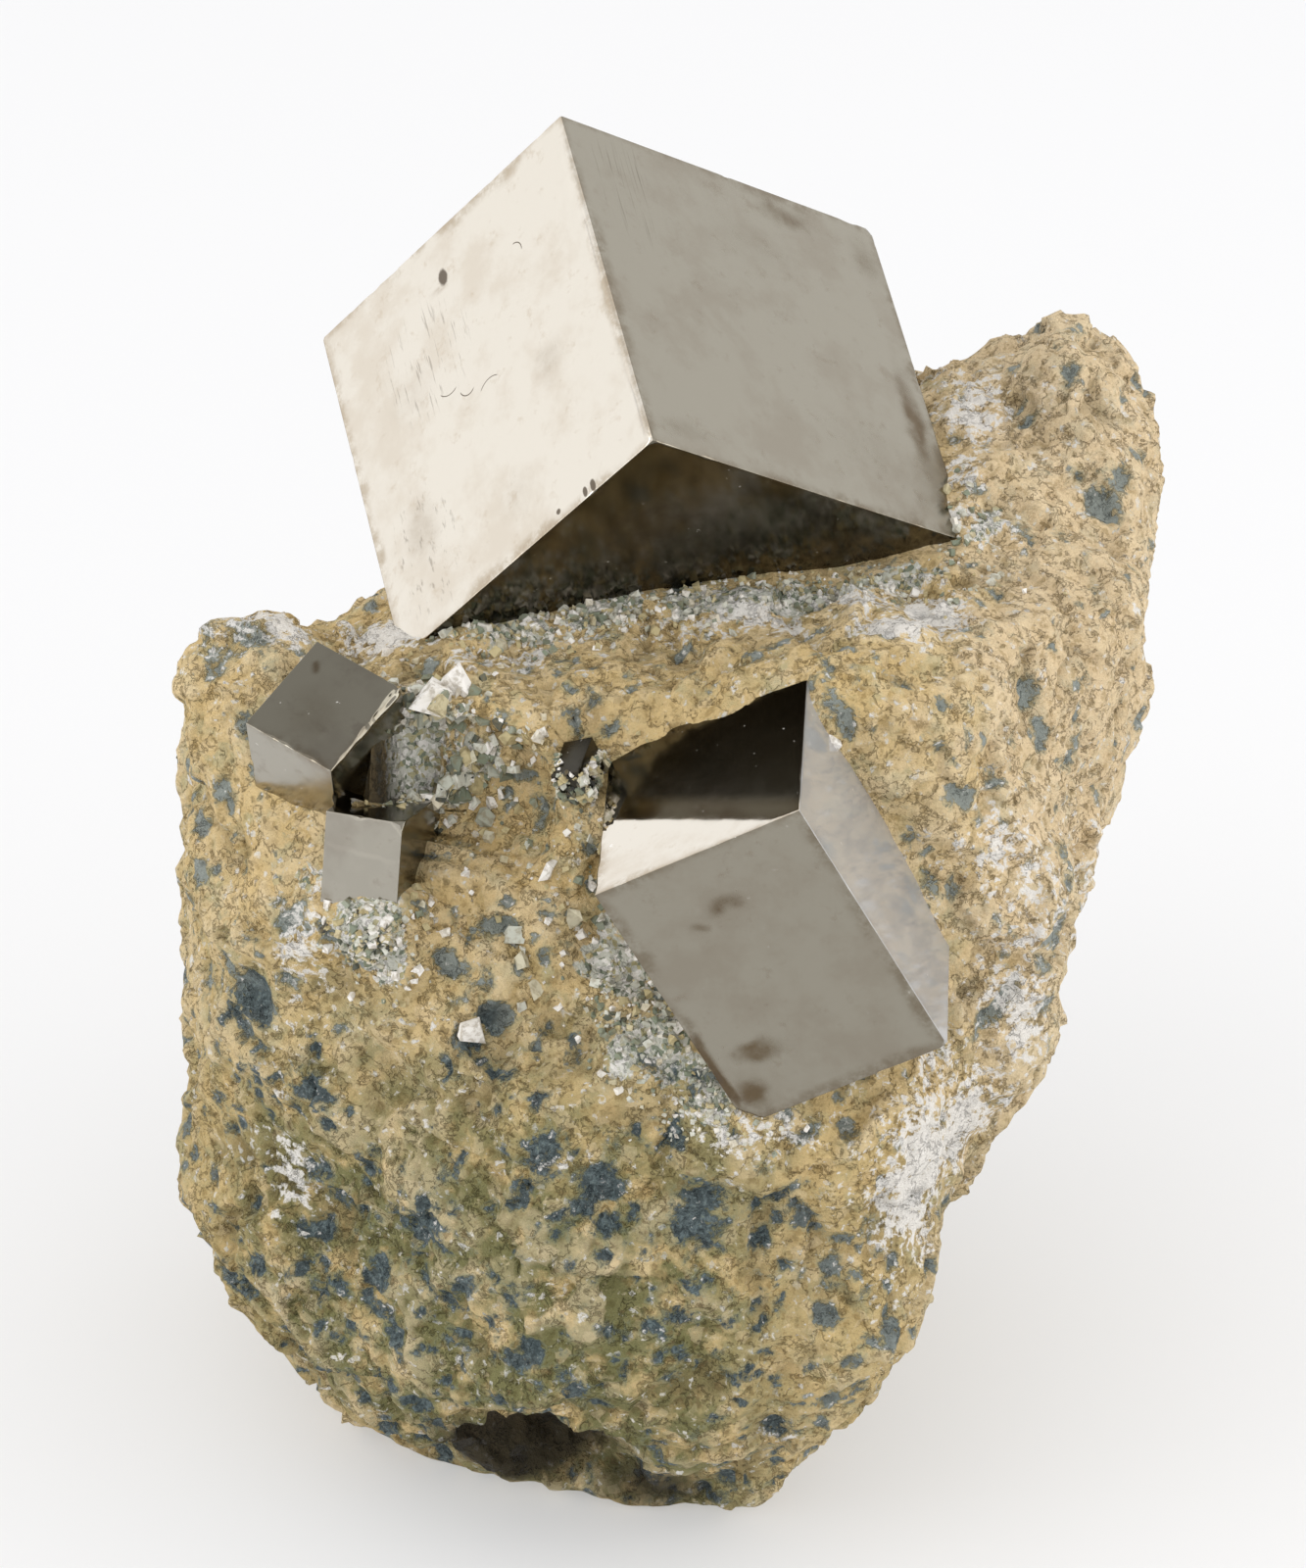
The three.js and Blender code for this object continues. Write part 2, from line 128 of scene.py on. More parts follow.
def neighbours(p, pitch, seed):
    """For each of the 27 cells around, its scattered point's offset and random number."""
    q = p / pitch
    cell = np.floor(q)
    for i in (-1, 0, 1):
        for j in (-1, 0, 1):
            for k in (-1, 0, 1):
                at = cell + np.array([i, j, k])
                args = (at[:, 0], at[:, 1], at[:, 2])
                point = np.stack([scatter(*args, seed + n) for n in range(3)], axis=1)
                yield (at + point - q) * pitch, scatter(*args, seed + 3)


def scoops(p, pitch, seed):
    """Concave scoops with sharp rims between them, about -0.5 to 0.5."""
    best = np.full(len(p), 9.0)
    for offset, _ in neighbours(p, pitch, seed):
        best = np.minimum(best, (offset ** 2).sum(1) / pitch ** 2)
    return np.sqrt(best) - 0.55


def flakes(p, pitch, seed, slope):
    """Flat chips that tilt each its own way, with steps where they meet."""
    best = np.full(len(p), 1e9)
    height = np.zeros(len(p))
    for offset, pick in neighbours(p, pitch, seed):
        distance = (offset ** 2).sum(1)
        lean_x = np.cos(pick * 40)
        lean_z = np.sin(pick * 40)
        tilted = (offset[:, 0] * lean_x + offset[:, 2] * lean_z) / pitch
        nearer = distance < best
        best = np.where(nearer, distance, best)
        height = np.where(nearer, slope * tilted + (pick - 0.5) * 0.5, height)
    return height


def blots(p, pitch, radii, share, seed):
    """How far each point lies inside the nearest round blot, below zero outside."""
    depth = np.full(len(p), -9.0)
    for offset, pick in neighbours(p, pitch, seed):
        size = (pick * 7919) % 1
        radius = radii[0] + (radii[1] - radii[0]) * size ** 2
        inside = radius - np.sqrt((offset ** 2).sum(1))
        depth = np.where(pick < share, np.maximum(depth, inside), depth)
    return depth


def near_spot(p, at, size):
    """1 at a place, fading to almost nothing at twice its half sizes."""
    d = (p - np.array(at, float)) / np.array(size, float)
    return np.exp(-(d ** 2).sum(1))


def near_any(p, spots):
    total = np.zeros(len(p))
    for at, size, strength in spots:
        total = np.maximum(total, strength * near_spot(p, at, size))
    return total


def axes_of(crystal):
    a = np.array(crystal["first"], float)
    a /= np.linalg.norm(a)
    b = np.array(crystal["second"], float)
    b -= a * (a @ b)
    b /= np.linalg.norm(b)
    return np.array([a, b, np.cross(a, b)])


def crystal_coordinates(p, name):
    """The points measured from a crystal's corner along its edges."""
    crystal = CRYSTALS[name]
    return (p - np.array(crystal["corner"], float)) @ axes_of(crystal).T


def out_of_crystal(local, name):
    """The way back from a crystal's own coordinates."""
    crystal = CRYSTALS[name]
    return np.array(crystal["corner"], float) + local @ axes_of(crystal)


def frame_offset():
    """From the crystals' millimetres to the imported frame's, read off the smallest crystal."""
    tiny = CRYSTALS["tiny"]
    axes = axes_of(tiny)
    ends = [np.array(tiny["corner"], float) + axes.T @ (np.array([i, j, k]) * tiny["size"])
            for i in (0, 1) for j in (0, 1) for k in (0, 1)]
    low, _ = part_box("tiny_cube")
    return np.array(low) / MM - np.min(ends, axis=0)


OFFSET = frame_offset()


def to_frame(p):
    return (np.asarray(p, float) + OFFSET) * MM


def new_object(name, data):
    made = bpy.data.objects.new(name, data)
    bpy.context.scene.collection.objects.link(made)
    return made


def new_mesh(name, points, faces, smooth=True):
    """A mesh object from millimetre points and lists of corner numbers."""
    mesh = bpy.data.meshes.new(name)
    mesh.from_pydata(to_frame(points).tolist(), [], faces)
    mesh.update()
    mesh.polygons.foreach_set("use_smooth", [smooth] * len(mesh.polygons))
    return new_object(name, mesh)


def keep_value(mesh, name, values):
    layer = mesh.attributes.new(name, "FLOAT", "POINT")
    layer.data.foreach_set("value", np.clip(values, 0, 1).astype(np.float32))


# Materials

def set_socket(socket, value):
    if isinstance(value, bpy.types.NodeSocket):
        socket.id_data.links.new(value, socket)
    else:
        socket.default_value = value


def set_sockets(item, values):
    for key, value in values.items():
        set_socket(item.inputs[key], value)


def add(tree, kind, settings=None, **values):
    item = tree.nodes.new(kind)
    for key, value in (settings or {}).items():
        setattr(item, key, value)
    set_sockets(item, {k.replace("_", " "): v for k, v in values.items()})
    return item


def noise(tree, where, size_mm, detail=3.0, roughness=0.55):
    made = add(tree, "ShaderNodeTexNoise", Vector=where, Scale=1000 / size_mm,
               Detail=detail, Roughness=roughness)
    return made.outputs["Fac"]


def steps(tree, value, low, high):
    """0 below low and 1 above high, smooth between."""
    made = add(tree, "ShaderNodeMapRange", {"interpolation_type": "SMOOTHSTEP"})
    set_sockets(made, {"Value": value, "From Min": low, "From Max": high})
    return made.outputs["Result"]


def maths(tree, operation, a, b=0.0, clamp=False):
    made = add(tree, "ShaderNodeMath", {"operation": operation, "use_clamp": clamp})
    set_sockets(made, {0: a, 1: b})
    return made.outputs[0]


def times(tree, a, b):
    return maths(tree, "MULTIPLY", a, b)


def plus(tree, a, b):
    return maths(tree, "ADD", a, b)


def blend_colors(tree, factor, a, b, kind="MIX"):
    made = add(tree, "ShaderNodeMix", {"data_type": "RGBA", "blend_type": kind})
    sockets = [s for s in made.inputs if s.enabled]
    for socket, value in zip(sockets, (factor, a, b)):
        set_socket(socket, (*value, 1) if isinstance(value, tuple) else value)
    return [s for s in made.outputs if s.enabled][0]


def cover(tree, color, other, mask, strength=1.0, kind="MIX"):
    """The colour with another laid over it, where a mask says and at most so strongly."""
    factor = mask if strength == 1.0 else times(tree, mask, strength)
    return blend_colors(tree, factor, color, other, kind)


def stored(tree, name, output="Fac"):
    """What a mesh keeps under that name for each of its points."""
    return add(tree, "ShaderNodeAttribute", {"attribute_name": name}).outputs[output]


def start_material(name):
    material = bpy.data.materials.new(name)
    material.use_nodes = True
    tree = material.node_tree
    tree.nodes.clear()
    shader = tree.nodes.new("ShaderNodeBsdfPrincipled")
    output = tree.nodes.new("ShaderNodeOutputMaterial")
    tree.links.new(shader.outputs[0], output.inputs[0])
    where = tree.nodes.new("ShaderNodeTexCoord").outputs["Object"]
    return material, tree, shader, where


# Colours of the marl, its grains and dust, and of the shade painted on it
OCHRE = (0.67, 0.495, 0.235)
CLAY_GREEN = (0.46, 0.42, 0.24)
OCHRE_DARK = (0.21, 0.155, 0.07)
SAND = (0.84, 0.685, 0.44)
OLIVE = (0.205, 0.195, 0.082)
ROSY = (0.87, 0.71, 0.53)
# Painted shade: near black brown for the cave under the rock and the nooks by the small crystals
PAINTED_SHADE_BROWN = (0.032, 0.024, 0.014)
GREY_GREEN = (0.22, 0.25, 0.18)
PALE_GREY = (0.62, 0.62, 0.54)
SLATE = (0.042, 0.064, 0.076)
SLATE_PALE = (0.15, 0.20, 0.215)
SLATE_DUSTY = (0.27, 0.30, 0.28)
SHADED = (0.61, 0.57, 0.48)
POWDER = (0.84, 0.81, 0.76)
DARK_GRAIN = (0.04, 0.04, 0.035)
OCHRE_GRAIN = (0.52, 0.44, 0.24)
GRIT_COLORS = (PALE_GREY, POWDER, CLAY_GREEN, PALE_GREY, POWDER, GREY_GREEN, PALE_GREY)

# Colours of the pyrite: what low tones lean to, and its worn rims, haze, stains and marks; the stored tones
# are painted reflection brightness
BRASSY = (0.80, 0.735, 0.56)
BRIGHT_METAL = (0.81, 0.76, 0.68)
BRIGHT_TARNISH = (0.60, 0.50, 0.38)
DARK_METAL = (0.74, 0.71, 0.66)
DARK_TARNISH = (0.50, 0.43, 0.35)
RIM_BROWN = (0.42, 0.33, 0.22)
HAZE_GREY = (0.36, 0.365, 0.375)
STAIN_TINT = (0.37, 0.28, 0.18)
STAIN_CORE = (0.075, 0.052, 0.032)
MARK_BROWN = (0.10, 0.075, 0.05)


def cells(tree, where, size_mm):
    """A different value from 0 to 1 for every small cell of the stone."""
    made = add(tree, "ShaderNodeTexVoronoi", Vector=where, Scale=1000 / size_mm)
    return add(tree, "ShaderNodeSeparateColor", Color=made.outputs["Color"]).outputs[0]


def shaken(tree, where, size_mm, amount_mm):
    """The place, pushed about by noise, so that cells get ragged borders."""
    made = add(tree, "ShaderNodeTexNoise", Vector=where, Scale=1000 / size_mm, Detail=3.0)
    push = add(tree, "ShaderNodeVectorMath", {"operation": "MULTIPLY_ADD"})
    set_sockets(push, {0: made.outputs["Color"], 1: (amount_mm * MM,) * 3, 2: where})
    return push.outputs[0]


def scaled(tree, value, amount, middle=0.5):
    """The value's distance from its middle, times an amount."""
    return times(tree, maths(tree, "SUBTRACT", value, middle), amount)


def granular(tree, grain, colors):
    """One of several colours for each grain."""
    color = colors[0]
    for n, other in enumerate(colors[1:], 1):
        edge = n / len(colors)
        color = cover(tree, color, other, steps(tree, grain, edge - 0.03, edge + 0.03))
    return color


def crack_lines(tree, ragged, fine):
    """Thin broken lines where a noise passes its middle value."""
    off = maths(tree, "ABSOLUTE", maths(tree, "SUBTRACT", noise(tree, ragged, 3.4, 4, 0.7), 0.5))
    return times(tree, steps(tree, off, 0.022, 0.004), steps(tree, fine, 0.62, 0.44))


def marl_ground(tree, where, ragged, middle, fine, chip, grain, crack):
    """Ochre marl: sandy, greenish, rosy and olive parts, flecks, and painted shade in its lows, cracks and
    pits with painted highlights on its highs.
    """
    broad = noise(tree, where, 15, 4)
    patches = noise(tree, ragged, 2.8, 3, 0.6)
    relief = stored(tree, "relief")
    # Partly the marl's own olive hue and partly painted shade: the stored olive darkens the lower front
    olive = times(tree, stored(tree, "olive"), steps(tree, middle, 0.30, 0.52))
    pits = times(tree, steps(tree, grain, 0.09, 0.03), steps(tree, fine, 0.56, 0.42))
    flecks = times(tree, steps(tree, grain, 0.92, 0.97), steps(tree, fine, 0.46, 0.56))
    color = OCHRE
    for other, mask, strength in (
        (SAND, steps(tree, broad, 0.42, 0.68), 0.45),
        (CLAY_GREEN, steps(tree, patches, 0.48, 0.66), 0.7),
        (OCHRE, steps(tree, middle, 0.56, 0.42), 0.6),
        (ROSY, stored(tree, "rosy"), 1.0),
        (OLIVE, olive, 1.0),
        # Painted shade and highlights: the fine noise and the stored relief also raise the bumps and the
        # mesh, so the next four rows darken the lows and lighten the highs
        (SHADED, steps(tree, fine, 0.49, 0.36), 0.78),
        (SAND, steps(tree, fine, 0.57, 0.68), 0.40),
        (OCHRE_DARK, steps(tree, relief, 0.38, 0.10), 0.5),
        (SAND, steps(tree, relief, 0.56, 0.80), 0.4),
        (SAND, steps(tree, chip, 0.80, 0.92), 0.25),
        # Painted shade in the cracks and the pits
        (SHADED, crack, 0.58),
        (OCHRE_DARK, pits, 0.6),
        (POWDER, flecks, 0.7),
    ):
        kind = "MULTIPLY" if other == SHADED else "MIX"
        color = cover(tree, color, other, mask, strength, kind)
    return color


def marl_material():
    material, tree, shader, where = start_material("ochre_marl")
    ragged = shaken(tree, where, 1.6, 1.1)
    middle = noise(tree, where, 4, 4, 0.6)
    fine = noise(tree, where, 1.1, 5, 0.65)
    mottled = noise(tree, ragged, 0.6, 5, 0.8)
    chip = cells(tree, ragged, 1.5)
    grain = cells(tree, ragged, 0.55)
    crack = crack_lines(tree, ragged, fine)
    color = marl_ground(tree, where, ragged, middle, fine, chip, grain, crack)

    grit = plus(tree, stored(tree, "grit"), scaled(tree, grain, 0.5))
    grains = granular(tree, cells(tree, ragged, 0.42), GRIT_COLORS)
    color = cover(tree, color, grains, steps(tree, grit, 0.34, 0.52))

    spot = plus(tree, scaled(tree, fine, 1.7), scaled(tree, grain, 0.35))
    spot = plus(tree, stored(tree, "slate"), spot)
    slate = cover(tree, SLATE, SLATE_PALE, steps(tree, mottled, 0.44, 0.62))
    slate = cover(tree, slate, GREY_GREEN, steps(tree, mottled, 0.60, 0.70))
    slate = cover(tree, slate, SLATE_DUSTY, steps(tree, stored(tree, "olive"), 0.45, 0.05))
    color = cover(tree, color, GREY_GREEN, steps(tree, spot, 0.20, 0.64), 0.55)
    color = cover(tree, color, slate, steps(tree, spot, 0.58, 0.74), 0.92)

    dust = plus(tree, scaled(tree, fine, 2.6), scaled(tree, grain, 0.4))
    dust = plus(tree, stored(tree, "powder"), dust)
    color = cover(tree, color, POWDER, steps(tree, dust, 0.38, 0.66), 0.92)
    # Painted shade: the cave under the rock and the nooks by the small crystals are painted near black
    color = cover(tree, color, PAINTED_SHADE_BROWN, steps(tree, stored(tree, "painted_shade"), 0.2, 0.8), 0.94)

    rough = maths(tree, "SUBTRACT", 0.92, times(tree, steps(tree, spot, 0.50, 0.66), 0.35))
    height = plus(tree, scaled(tree, chip, 0.9), scaled(tree, grain, 0.4))
    for part, amount in (
        (fine, 1.3), (middle, 0.9), (steps(tree, spot, 0.52, 0.70), -0.7), (crack, -0.8), (mottled, 0.5),
    ):
        height = plus(tree, height, times(tree, part, amount))
    bump = add(tree, "ShaderNodeBump", Strength=0.9, Distance=0.0006, Height=height)
    set_sockets(shader, {"Base Color": color, "Roughness": rough, "Normal": bump.outputs[0],
                         "Specular IOR Level": 0.25})
    return material


def crumb_material():
    material, tree, shader, where = start_material("marl_crumbs")
    tone = stored(tree, "tone")
    fine = noise(tree, where, 0.7, 4, 0.6)
    color = DARK_GRAIN
    for other, low, high in (
        (GREY_GREEN, 0.10, 0.25), (PALE_GREY, 0.30, 0.45), (OCHRE_GRAIN, 0.55, 0.65), (POWDER, 0.74, 0.86),
    ):
        color = cover(tree, color, other, steps(tree, tone, low, high))
    color = cover(tree, color, OCHRE_DARK, steps(tree, fine, 0.55, 0.35), 0.5)
    bump = add(tree, "ShaderNodeBump", Strength=0.4, Distance=0.0002, Height=fine)
    set_sockets(shader, {"Base Color": color, "Roughness": 0.85, "Normal": bump.outputs[0]})
    return material


def vector_maths(tree, operation, a, b=(0, 0, 0), output="Vector"):
    made = add(tree, "ShaderNodeVectorMath", {"operation": operation})
    set_sockets(made, {0: a, 1: b})
    return made.outputs[output]


def reach_of(tree, place, centre, half):
    """How far the place lies from a centre, measured in half sizes."""
    gap = vector_maths(tree, "DIVIDE", vector_maths(tree, "SUBTRACT", place, centre), half)
    return vector_maths(tree, "LENGTH", gap, output="Value")


def drawn_marks(tree, smear, spots, arcs, scratched):
    """Masks of a crystal's drawn pits, arcs and windows of parallel scratches, each placed
    in millimetres along its edges."""
    place = stored(tree, "place", "Vector")
    marks = []
    for centre, half in spots:
        reach = plus(tree, reach_of(tree, place, centre, half), smear)
        marks.append(times(tree, steps(tree, reach, 1.65, 1.25), 0.9))
    for centre, radius, width, window in arcs:
        off = maths(tree, "SUBTRACT", reach_of(tree, place, centre, (1, 1, 1)), radius)
        line = steps(tree, maths(tree, "ABSOLUTE", off), width, width * 0.4)
        marks.append(times(tree, line, steps(tree, reach_of(tree, place, *window), 1.1, 0.8)))
    for centre, half, stretch in scratched:
        stretched = vector_maths(tree, "MULTIPLY", place, stretch)
        thread = steps(tree, noise(tree, stretched, 1000, 3, 0.6), 0.57, 0.66)
        window = steps(tree, reach_of(tree, place, centre, half), 1.0, 0.5)
        marks.append(times(tree, times(tree, thread, window), 0.38))
    return marks


def pyrite_material(name, bright, tarnish, spots=(), arcs=(), scratched=()):
    """Metal with cloudy tarnish, stored tone, blur and stains, dust and drawn marks; the stored tone is
    painted reflection brightness for each face.
    """
    material, tree, shader, where = start_material(name)
    cloud = noise(tree, where, 8, 5, 0.62)
    smear = noise(tree, where, 2.2, 6, 0.72)
    speck = noise(tree, where, 0.8, 3, 0.6)
    tone, blur, haze = stored(tree, "tone"), stored(tree, "blur"), stored(tree, "haze")
    rim = times(tree, stored(tree, "rim"), steps(tree, smear, 0.36, 0.60))
    stain = times(tree, stored(tree, "stain"), plus(tree, 0.35, times(tree, smear, 1.4)))
    dust = times(tree, steps(tree, speck, 0.70, 0.76), stored(tree, "dust"))

    # Painted reflection: the stored tone sets how bright each face is, standing in for what it mirrors; low
    # tones lean brassy
    color = cover(tree, BRASSY, bright, tone)
    color = cover(tree, color, tarnish, steps(tree, cloud, 0.46, 0.66), 0.34)
    color = cover(tree, color, tarnish, steps(tree, smear, 0.56, 0.70), 0.42)
    color = cover(tree, color, RIM_BROWN, rim, 0.65)
    # Painted reflection: the colour is darkened by the stored tone
    color = blend_colors(tree, 1.0, color, tone, "MULTIPLY")
    color = cover(tree, color, HAZE_GREY, haze)
    color = cover(tree, color, STAIN_TINT, steps(tree, stain, 0.02, 0.55), kind="MULTIPLY")
    color = cover(tree, color, STAIN_CORE, steps(tree, stain, 0.55, 1.0))
    color = cover(tree, color, POWDER, dust)
    marks = drawn_marks(tree, smear, spots, arcs, scratched)
    if marks:
        strongest = marks[0]
        for mark in marks[1:]:
            strongest = maths(tree, "MAXIMUM", strongest, mark)
        color = cover(tree, color, MARK_BROWN, strongest)

    uneven = times(tree, times(tree, steps(tree, smear, 0.35, 0.75), blur), 0.6)
    rough = plus(tree, plus(tree, blur, uneven), times(tree, stain, 0.25))
    metal = maths(tree, "SUBTRACT", 1.0, times(tree, steps(tree, stain, 0.1, 0.8), 0.6))
    for dull in (haze, dust):
        metal = maths(tree, "SUBTRACT", metal, dull, clamp=True)
    wave = plus(tree, noise(tree, where, 7, 2), times(tree, smear, 0.10))
    bump = add(tree, "ShaderNodeBump", Strength=0.05, Distance=0.0002, Height=wave)
    set_sockets(shader, {"Base Color": color, "Roughness": rough, "Metallic": metal,
                         "Normal": bump.outputs[0]})
    return material


def floor_material():
    material, tree, shader, where = start_material("pale_floor")
    tint = blend_colors(tree, noise(tree, where, 400, 2), (0.53, 0.53, 0.533), (0.55, 0.55, 0.553))
    set_sockets(shader, {"Base Color": tint, "Roughness": 0.85, "Specular IOR Level": 0.1,
                         "Emission Color": (1, 1, 1, 1), "Emission Strength": 0.33})
    return material


# Crystals

def face_stops(length, step):
    """Grid places along an edge: close together at both ends."""
    ends = [0, 0.05, 0.11, 0.19, 0.3, 0.45, 0.7, 1.05]
    ends = [e for e in ends if e < length / 3]
    count = max(2, int(round((length - 2 * ends[-1]) / step)))
    middle = np.linspace(ends[-1], length - ends[-1], count + 1)[1:-1]
    return np.array(ends + list(middle) + [length - e for e in reversed(ends)])


def block_grid(size, step):
    """Corner places and four-sided faces of a block whose six faces are fine grids."""
    stops = [face_stops(s, step) for s in size]
    number = [len(s) for s in stops]
    keys = {}
    quads = []

    def corner(i, j, k):
        return keys.setdefault((i, j, k), len(keys))

    for axis in range(3):
        u, v = (axis + 1) % 3, (axis + 2) % 3
        for side in (0, number[axis] - 1):
            for a in range(number[u] - 1):
                for b in range(number[v] - 1):
                    ring = []
                    for da, db in ((0, 0), (1, 0), (1, 1), (0, 1)):
                        at = [0, 0, 0]
                        at[axis], at[u], at[v] = side, a + da, b + db
                        ring.append(corner(*at))
                    quads.append(ring if side else ring[::-1])
    index = np.array(list(keys))
    points = np.stack([stops[n][index[:, n]] for n in range(3)], axis=1)
    return points, quads


def wear_edges(p, size, seed, nick):
    """Rounds the block's edges by a radius that varies with small nicks."""
    size = np.array(size, float)
    rough = np.maximum(0, rough_swell(p, 2.1, seed) - 0.45)
    radius = np.minimum(EDGE_RADIUS + nick * rough, 0.24 * size.min())[:, None]
    core = np.clip(p, radius, size - radius)
    out = p - core
    length = np.linalg.norm(out, axis=1, keepdims=True)
    reach = np.where(length > radius, radius / np.maximum(length, 1e-9), 1)
    return core + out * reach


def cut_corner(p, through, facing):
    """Moves what lies beyond a plane back onto it, with a little roughness."""
    normal = np.array(facing, float)
    normal /= np.linalg.norm(normal)
    over = (p - np.array(through, float)) @ normal
    over = over + 0.12 * swell(p, 0.9, 71) * (over > -0.1)
    return p - np.maximum(over, 0)[:, None] * normal


def face_of(p, size, axis, side):
    """Which points lie on one face, fading towards its borders."""
    on = np.abs(p[:, axis] - (size[axis] if side else 0)) < 0.02
    inner = np.full(len(p), 9.0)
    for other in range(3):
        if other != axis:
            inner = np.minimum(inner, np.minimum(p[:, other], size[other] - p[:, other]))
    return on * smoothstep(inner, 0.15, 0.5)


def growth_steps(p, size, seed, height):
    """Very low terraces on every face, their borders along the crystal's edges."""
    moved = p.copy()
    for axis in range(3):
        u, v = (axis + 1) % 3, (axis + 2) % 3
        for side in (0, 1):
            here = face_of(p, size, axis, side)
            grid = np.stack([p[:, u], p[:, v], np.full(len(p), 10.0 * axis + 5 * side)], axis=1)
            terrace = np.round(2.2 * swell(grid * (1, 0.35, 1), 7, seed + axis + 7 * side)) / 2.2
            ripple = 0.25 * swell(grid, 3.5, seed + 20)
            moved[:, axis] += (1 if side else -1) * here * height * (terrace + ripple)
    return moved


def stains_on(p, marks):
    """Stored stains: soft round marks in the crystal's own millimetres."""
    total = np.zeros(len(p))
    for at, size, strength in marks:
        edge = near_spot(wander(p, 1.3, 0.5, 31), at, size)
        total = np.maximum(total, strength * edge)
    return total


# Stains in a crystal's own millimetres: middle, half sizes, strength
LARGE_MARKS = [
    ((31.6, 0, 20.3), (0.5, 1, 1.2), 0.3),
    ((15.5, 0, 9.4), (2.2, 1, 2.4), 0.22),
    ((10.5, 0, 30), (3.4, 1, 2.6), 0.22),
    ((24, 0, 27), (3, 1, 4), 0.14),
    ((6, 0, 17), (3, 1, 3.5), 0.12),
    ((35.1, 27.9, 0), (1.6, 3.6, 1), 0.34),
    ((30, 22, 0), (4, 6, 1), 0.13),
    ((13.3, 37.8, 0), (6, 1.3, 1), 0.5),
    ((33, 38, 0), (3, 2, 1), 0.25),
    ((2.5, 4.8, 0), (1.4, 3.4, 1), 0.2),
    ((8, 30, 0), (5, 8, 1), 0.12),
    ((0, 12, 12), (1, 11, 9), 0.30),
    ((0, 30, 6), (1, 9, 4), 0.26),
]
# Small dark pits: middle, half sizes
LARGE_SPOTS = [
    ((32.6, 0, 19.3), (0.95, 0.4, 0.7)),
    ((0.7, 0, 8.2), (0.65, 0.4, 0.36)),
    ((0.7, 0, 9.3), (0.5, 0.4, 0.28)),
    ((1.0, 0, 13), (0.3, 0.4, 0.3)),
]
# Thin curved marks: middle, radius, width, and the window that shows of the circle
LARGE_ARCS = [
    ((28.7, 0, 9.8), 0.9, 0.07, ((29.3, 0, 9.0), (0.9, 0.4, 0.9))),
    ((20.3, 0, 19.8), 1.1, 0.07, ((19.3, 0, 20.2), (1.0, 0.4, 1.1))),
    ((22.5, 0, 22.0), 1.7, 0.06, ((21.0, 0, 22.4), (0.9, 0.4, 1.2))),
    ((17.0, 0, 17.0), 2.0, 0.06, ((18.9, 0, 17.2), (0.8, 0.4, 1.4))),
]
# Scratched windows: middle, half sizes, and how closely the lines lie along each edge
LARGE_SCRATCHED = [
    ((31, 6.5, 0), (8, 5, 0.5), (0.10, 4.2, 1)),
    ((26, 0, 24), (7, 0.5, 8), (0.25, 1, 2.6)),
    ((8, 0, 30), (8, 0.5, 6), (0.5, 1, 1.6)),
]
MIDDLE_MARKS = [
    ((21.2, 15.7, 0), (1.2, 2.0, 1), 0.5),
    ((6.1, 10.6, 0), (0.8, 1.6, 1), 0.36),
    ((7, 13.5, 0), (0.7, 0.7, 1), 0.32),
    ((25.5, 17.8, 0), (2.0, 1.6, 1), 0.55),
    ((22, 19.8, 0), (5, 0.5, 1), 0.7),
    ((0, 6, 9), (1, 7, 7), 0.1),
]


def crystal_shape(name, step, seed, terraces, nick, corners=()):
    """A block's even places and worn places along its own edges, and its faces."""
    size = CRYSTALS[name]["size"]
    local, quads = block_grid(size, step)
    shaped = growth_steps(local, size, seed, terraces)
    shaped = wear_edges(shaped, size, seed, nick)
    for through, facing in corners:
        shaped = cut_corner(shaped, through, facing)
    return local, shaped, quads


def face_values(local, faces, rest):
    """One value for each listed face, by axis (0 to 2), where that axis is zero."""
    values = np.full(len(local), float(rest))
    nearest = np.full(len(local), 0.4)
    for axis, value in faces.items():
        here = local[:, axis] < nearest
        values[here] = value
        nearest = np.where(here, local[:, axis], nearest)
    return values


def rim_of(local):
    """Rises towards the block's edges, within about a millimetre."""
    top = local.max(axis=0)
    gaps = np.sort(np.concatenate([local, top - local], axis=1), axis=1)
    return smoothstep(1.3 + 0.7 * swell(local, 4, 17) - gaps[:, 1], 0, 1.3)


def finish_crystal(piece, node_name, slot_name, material, local, marks, **looks):
    """Stores the looks (tone, blur, dust, haze), each as one number or one for each point; the tone is
    painted reflection brightness.
    """
    mesh = piece.data
    looks = {"haze": 0, "rim": rim_of(local), "stain": stains_on(local, marks), **looks}
    for name, values in looks.items():
        keep_value(mesh, name, np.broadcast_to(values, len(local)))
    place = mesh.attributes.new("place", "FLOAT_VECTOR", "POINT")
    place.data.foreach_set("vector", local.astype(np.float32).ravel())
    mesh.materials.append(material)
    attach(piece, "root")
    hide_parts(node_name)


def growth_plate(local, shaped):
    """Raises the thin ledge that runs along the large cube's upright edge."""
    width = 1.05 + 0.35 * swell(local, 5, 91)
    on_face = (local[:, 1] < 0.02) * smoothstep(local[:, 2], 0.1, 0.3)
    inside = smoothstep(width - local[:, 2], 0.0, 0.22)
    ends = smoothstep(local[:, 0], 0.4, 1.0) * smoothstep(36 - local[:, 0], 0.2, 1.6)
    shaped[:, 1] -= 0.10 * on_face * inside * ends
    return shaped


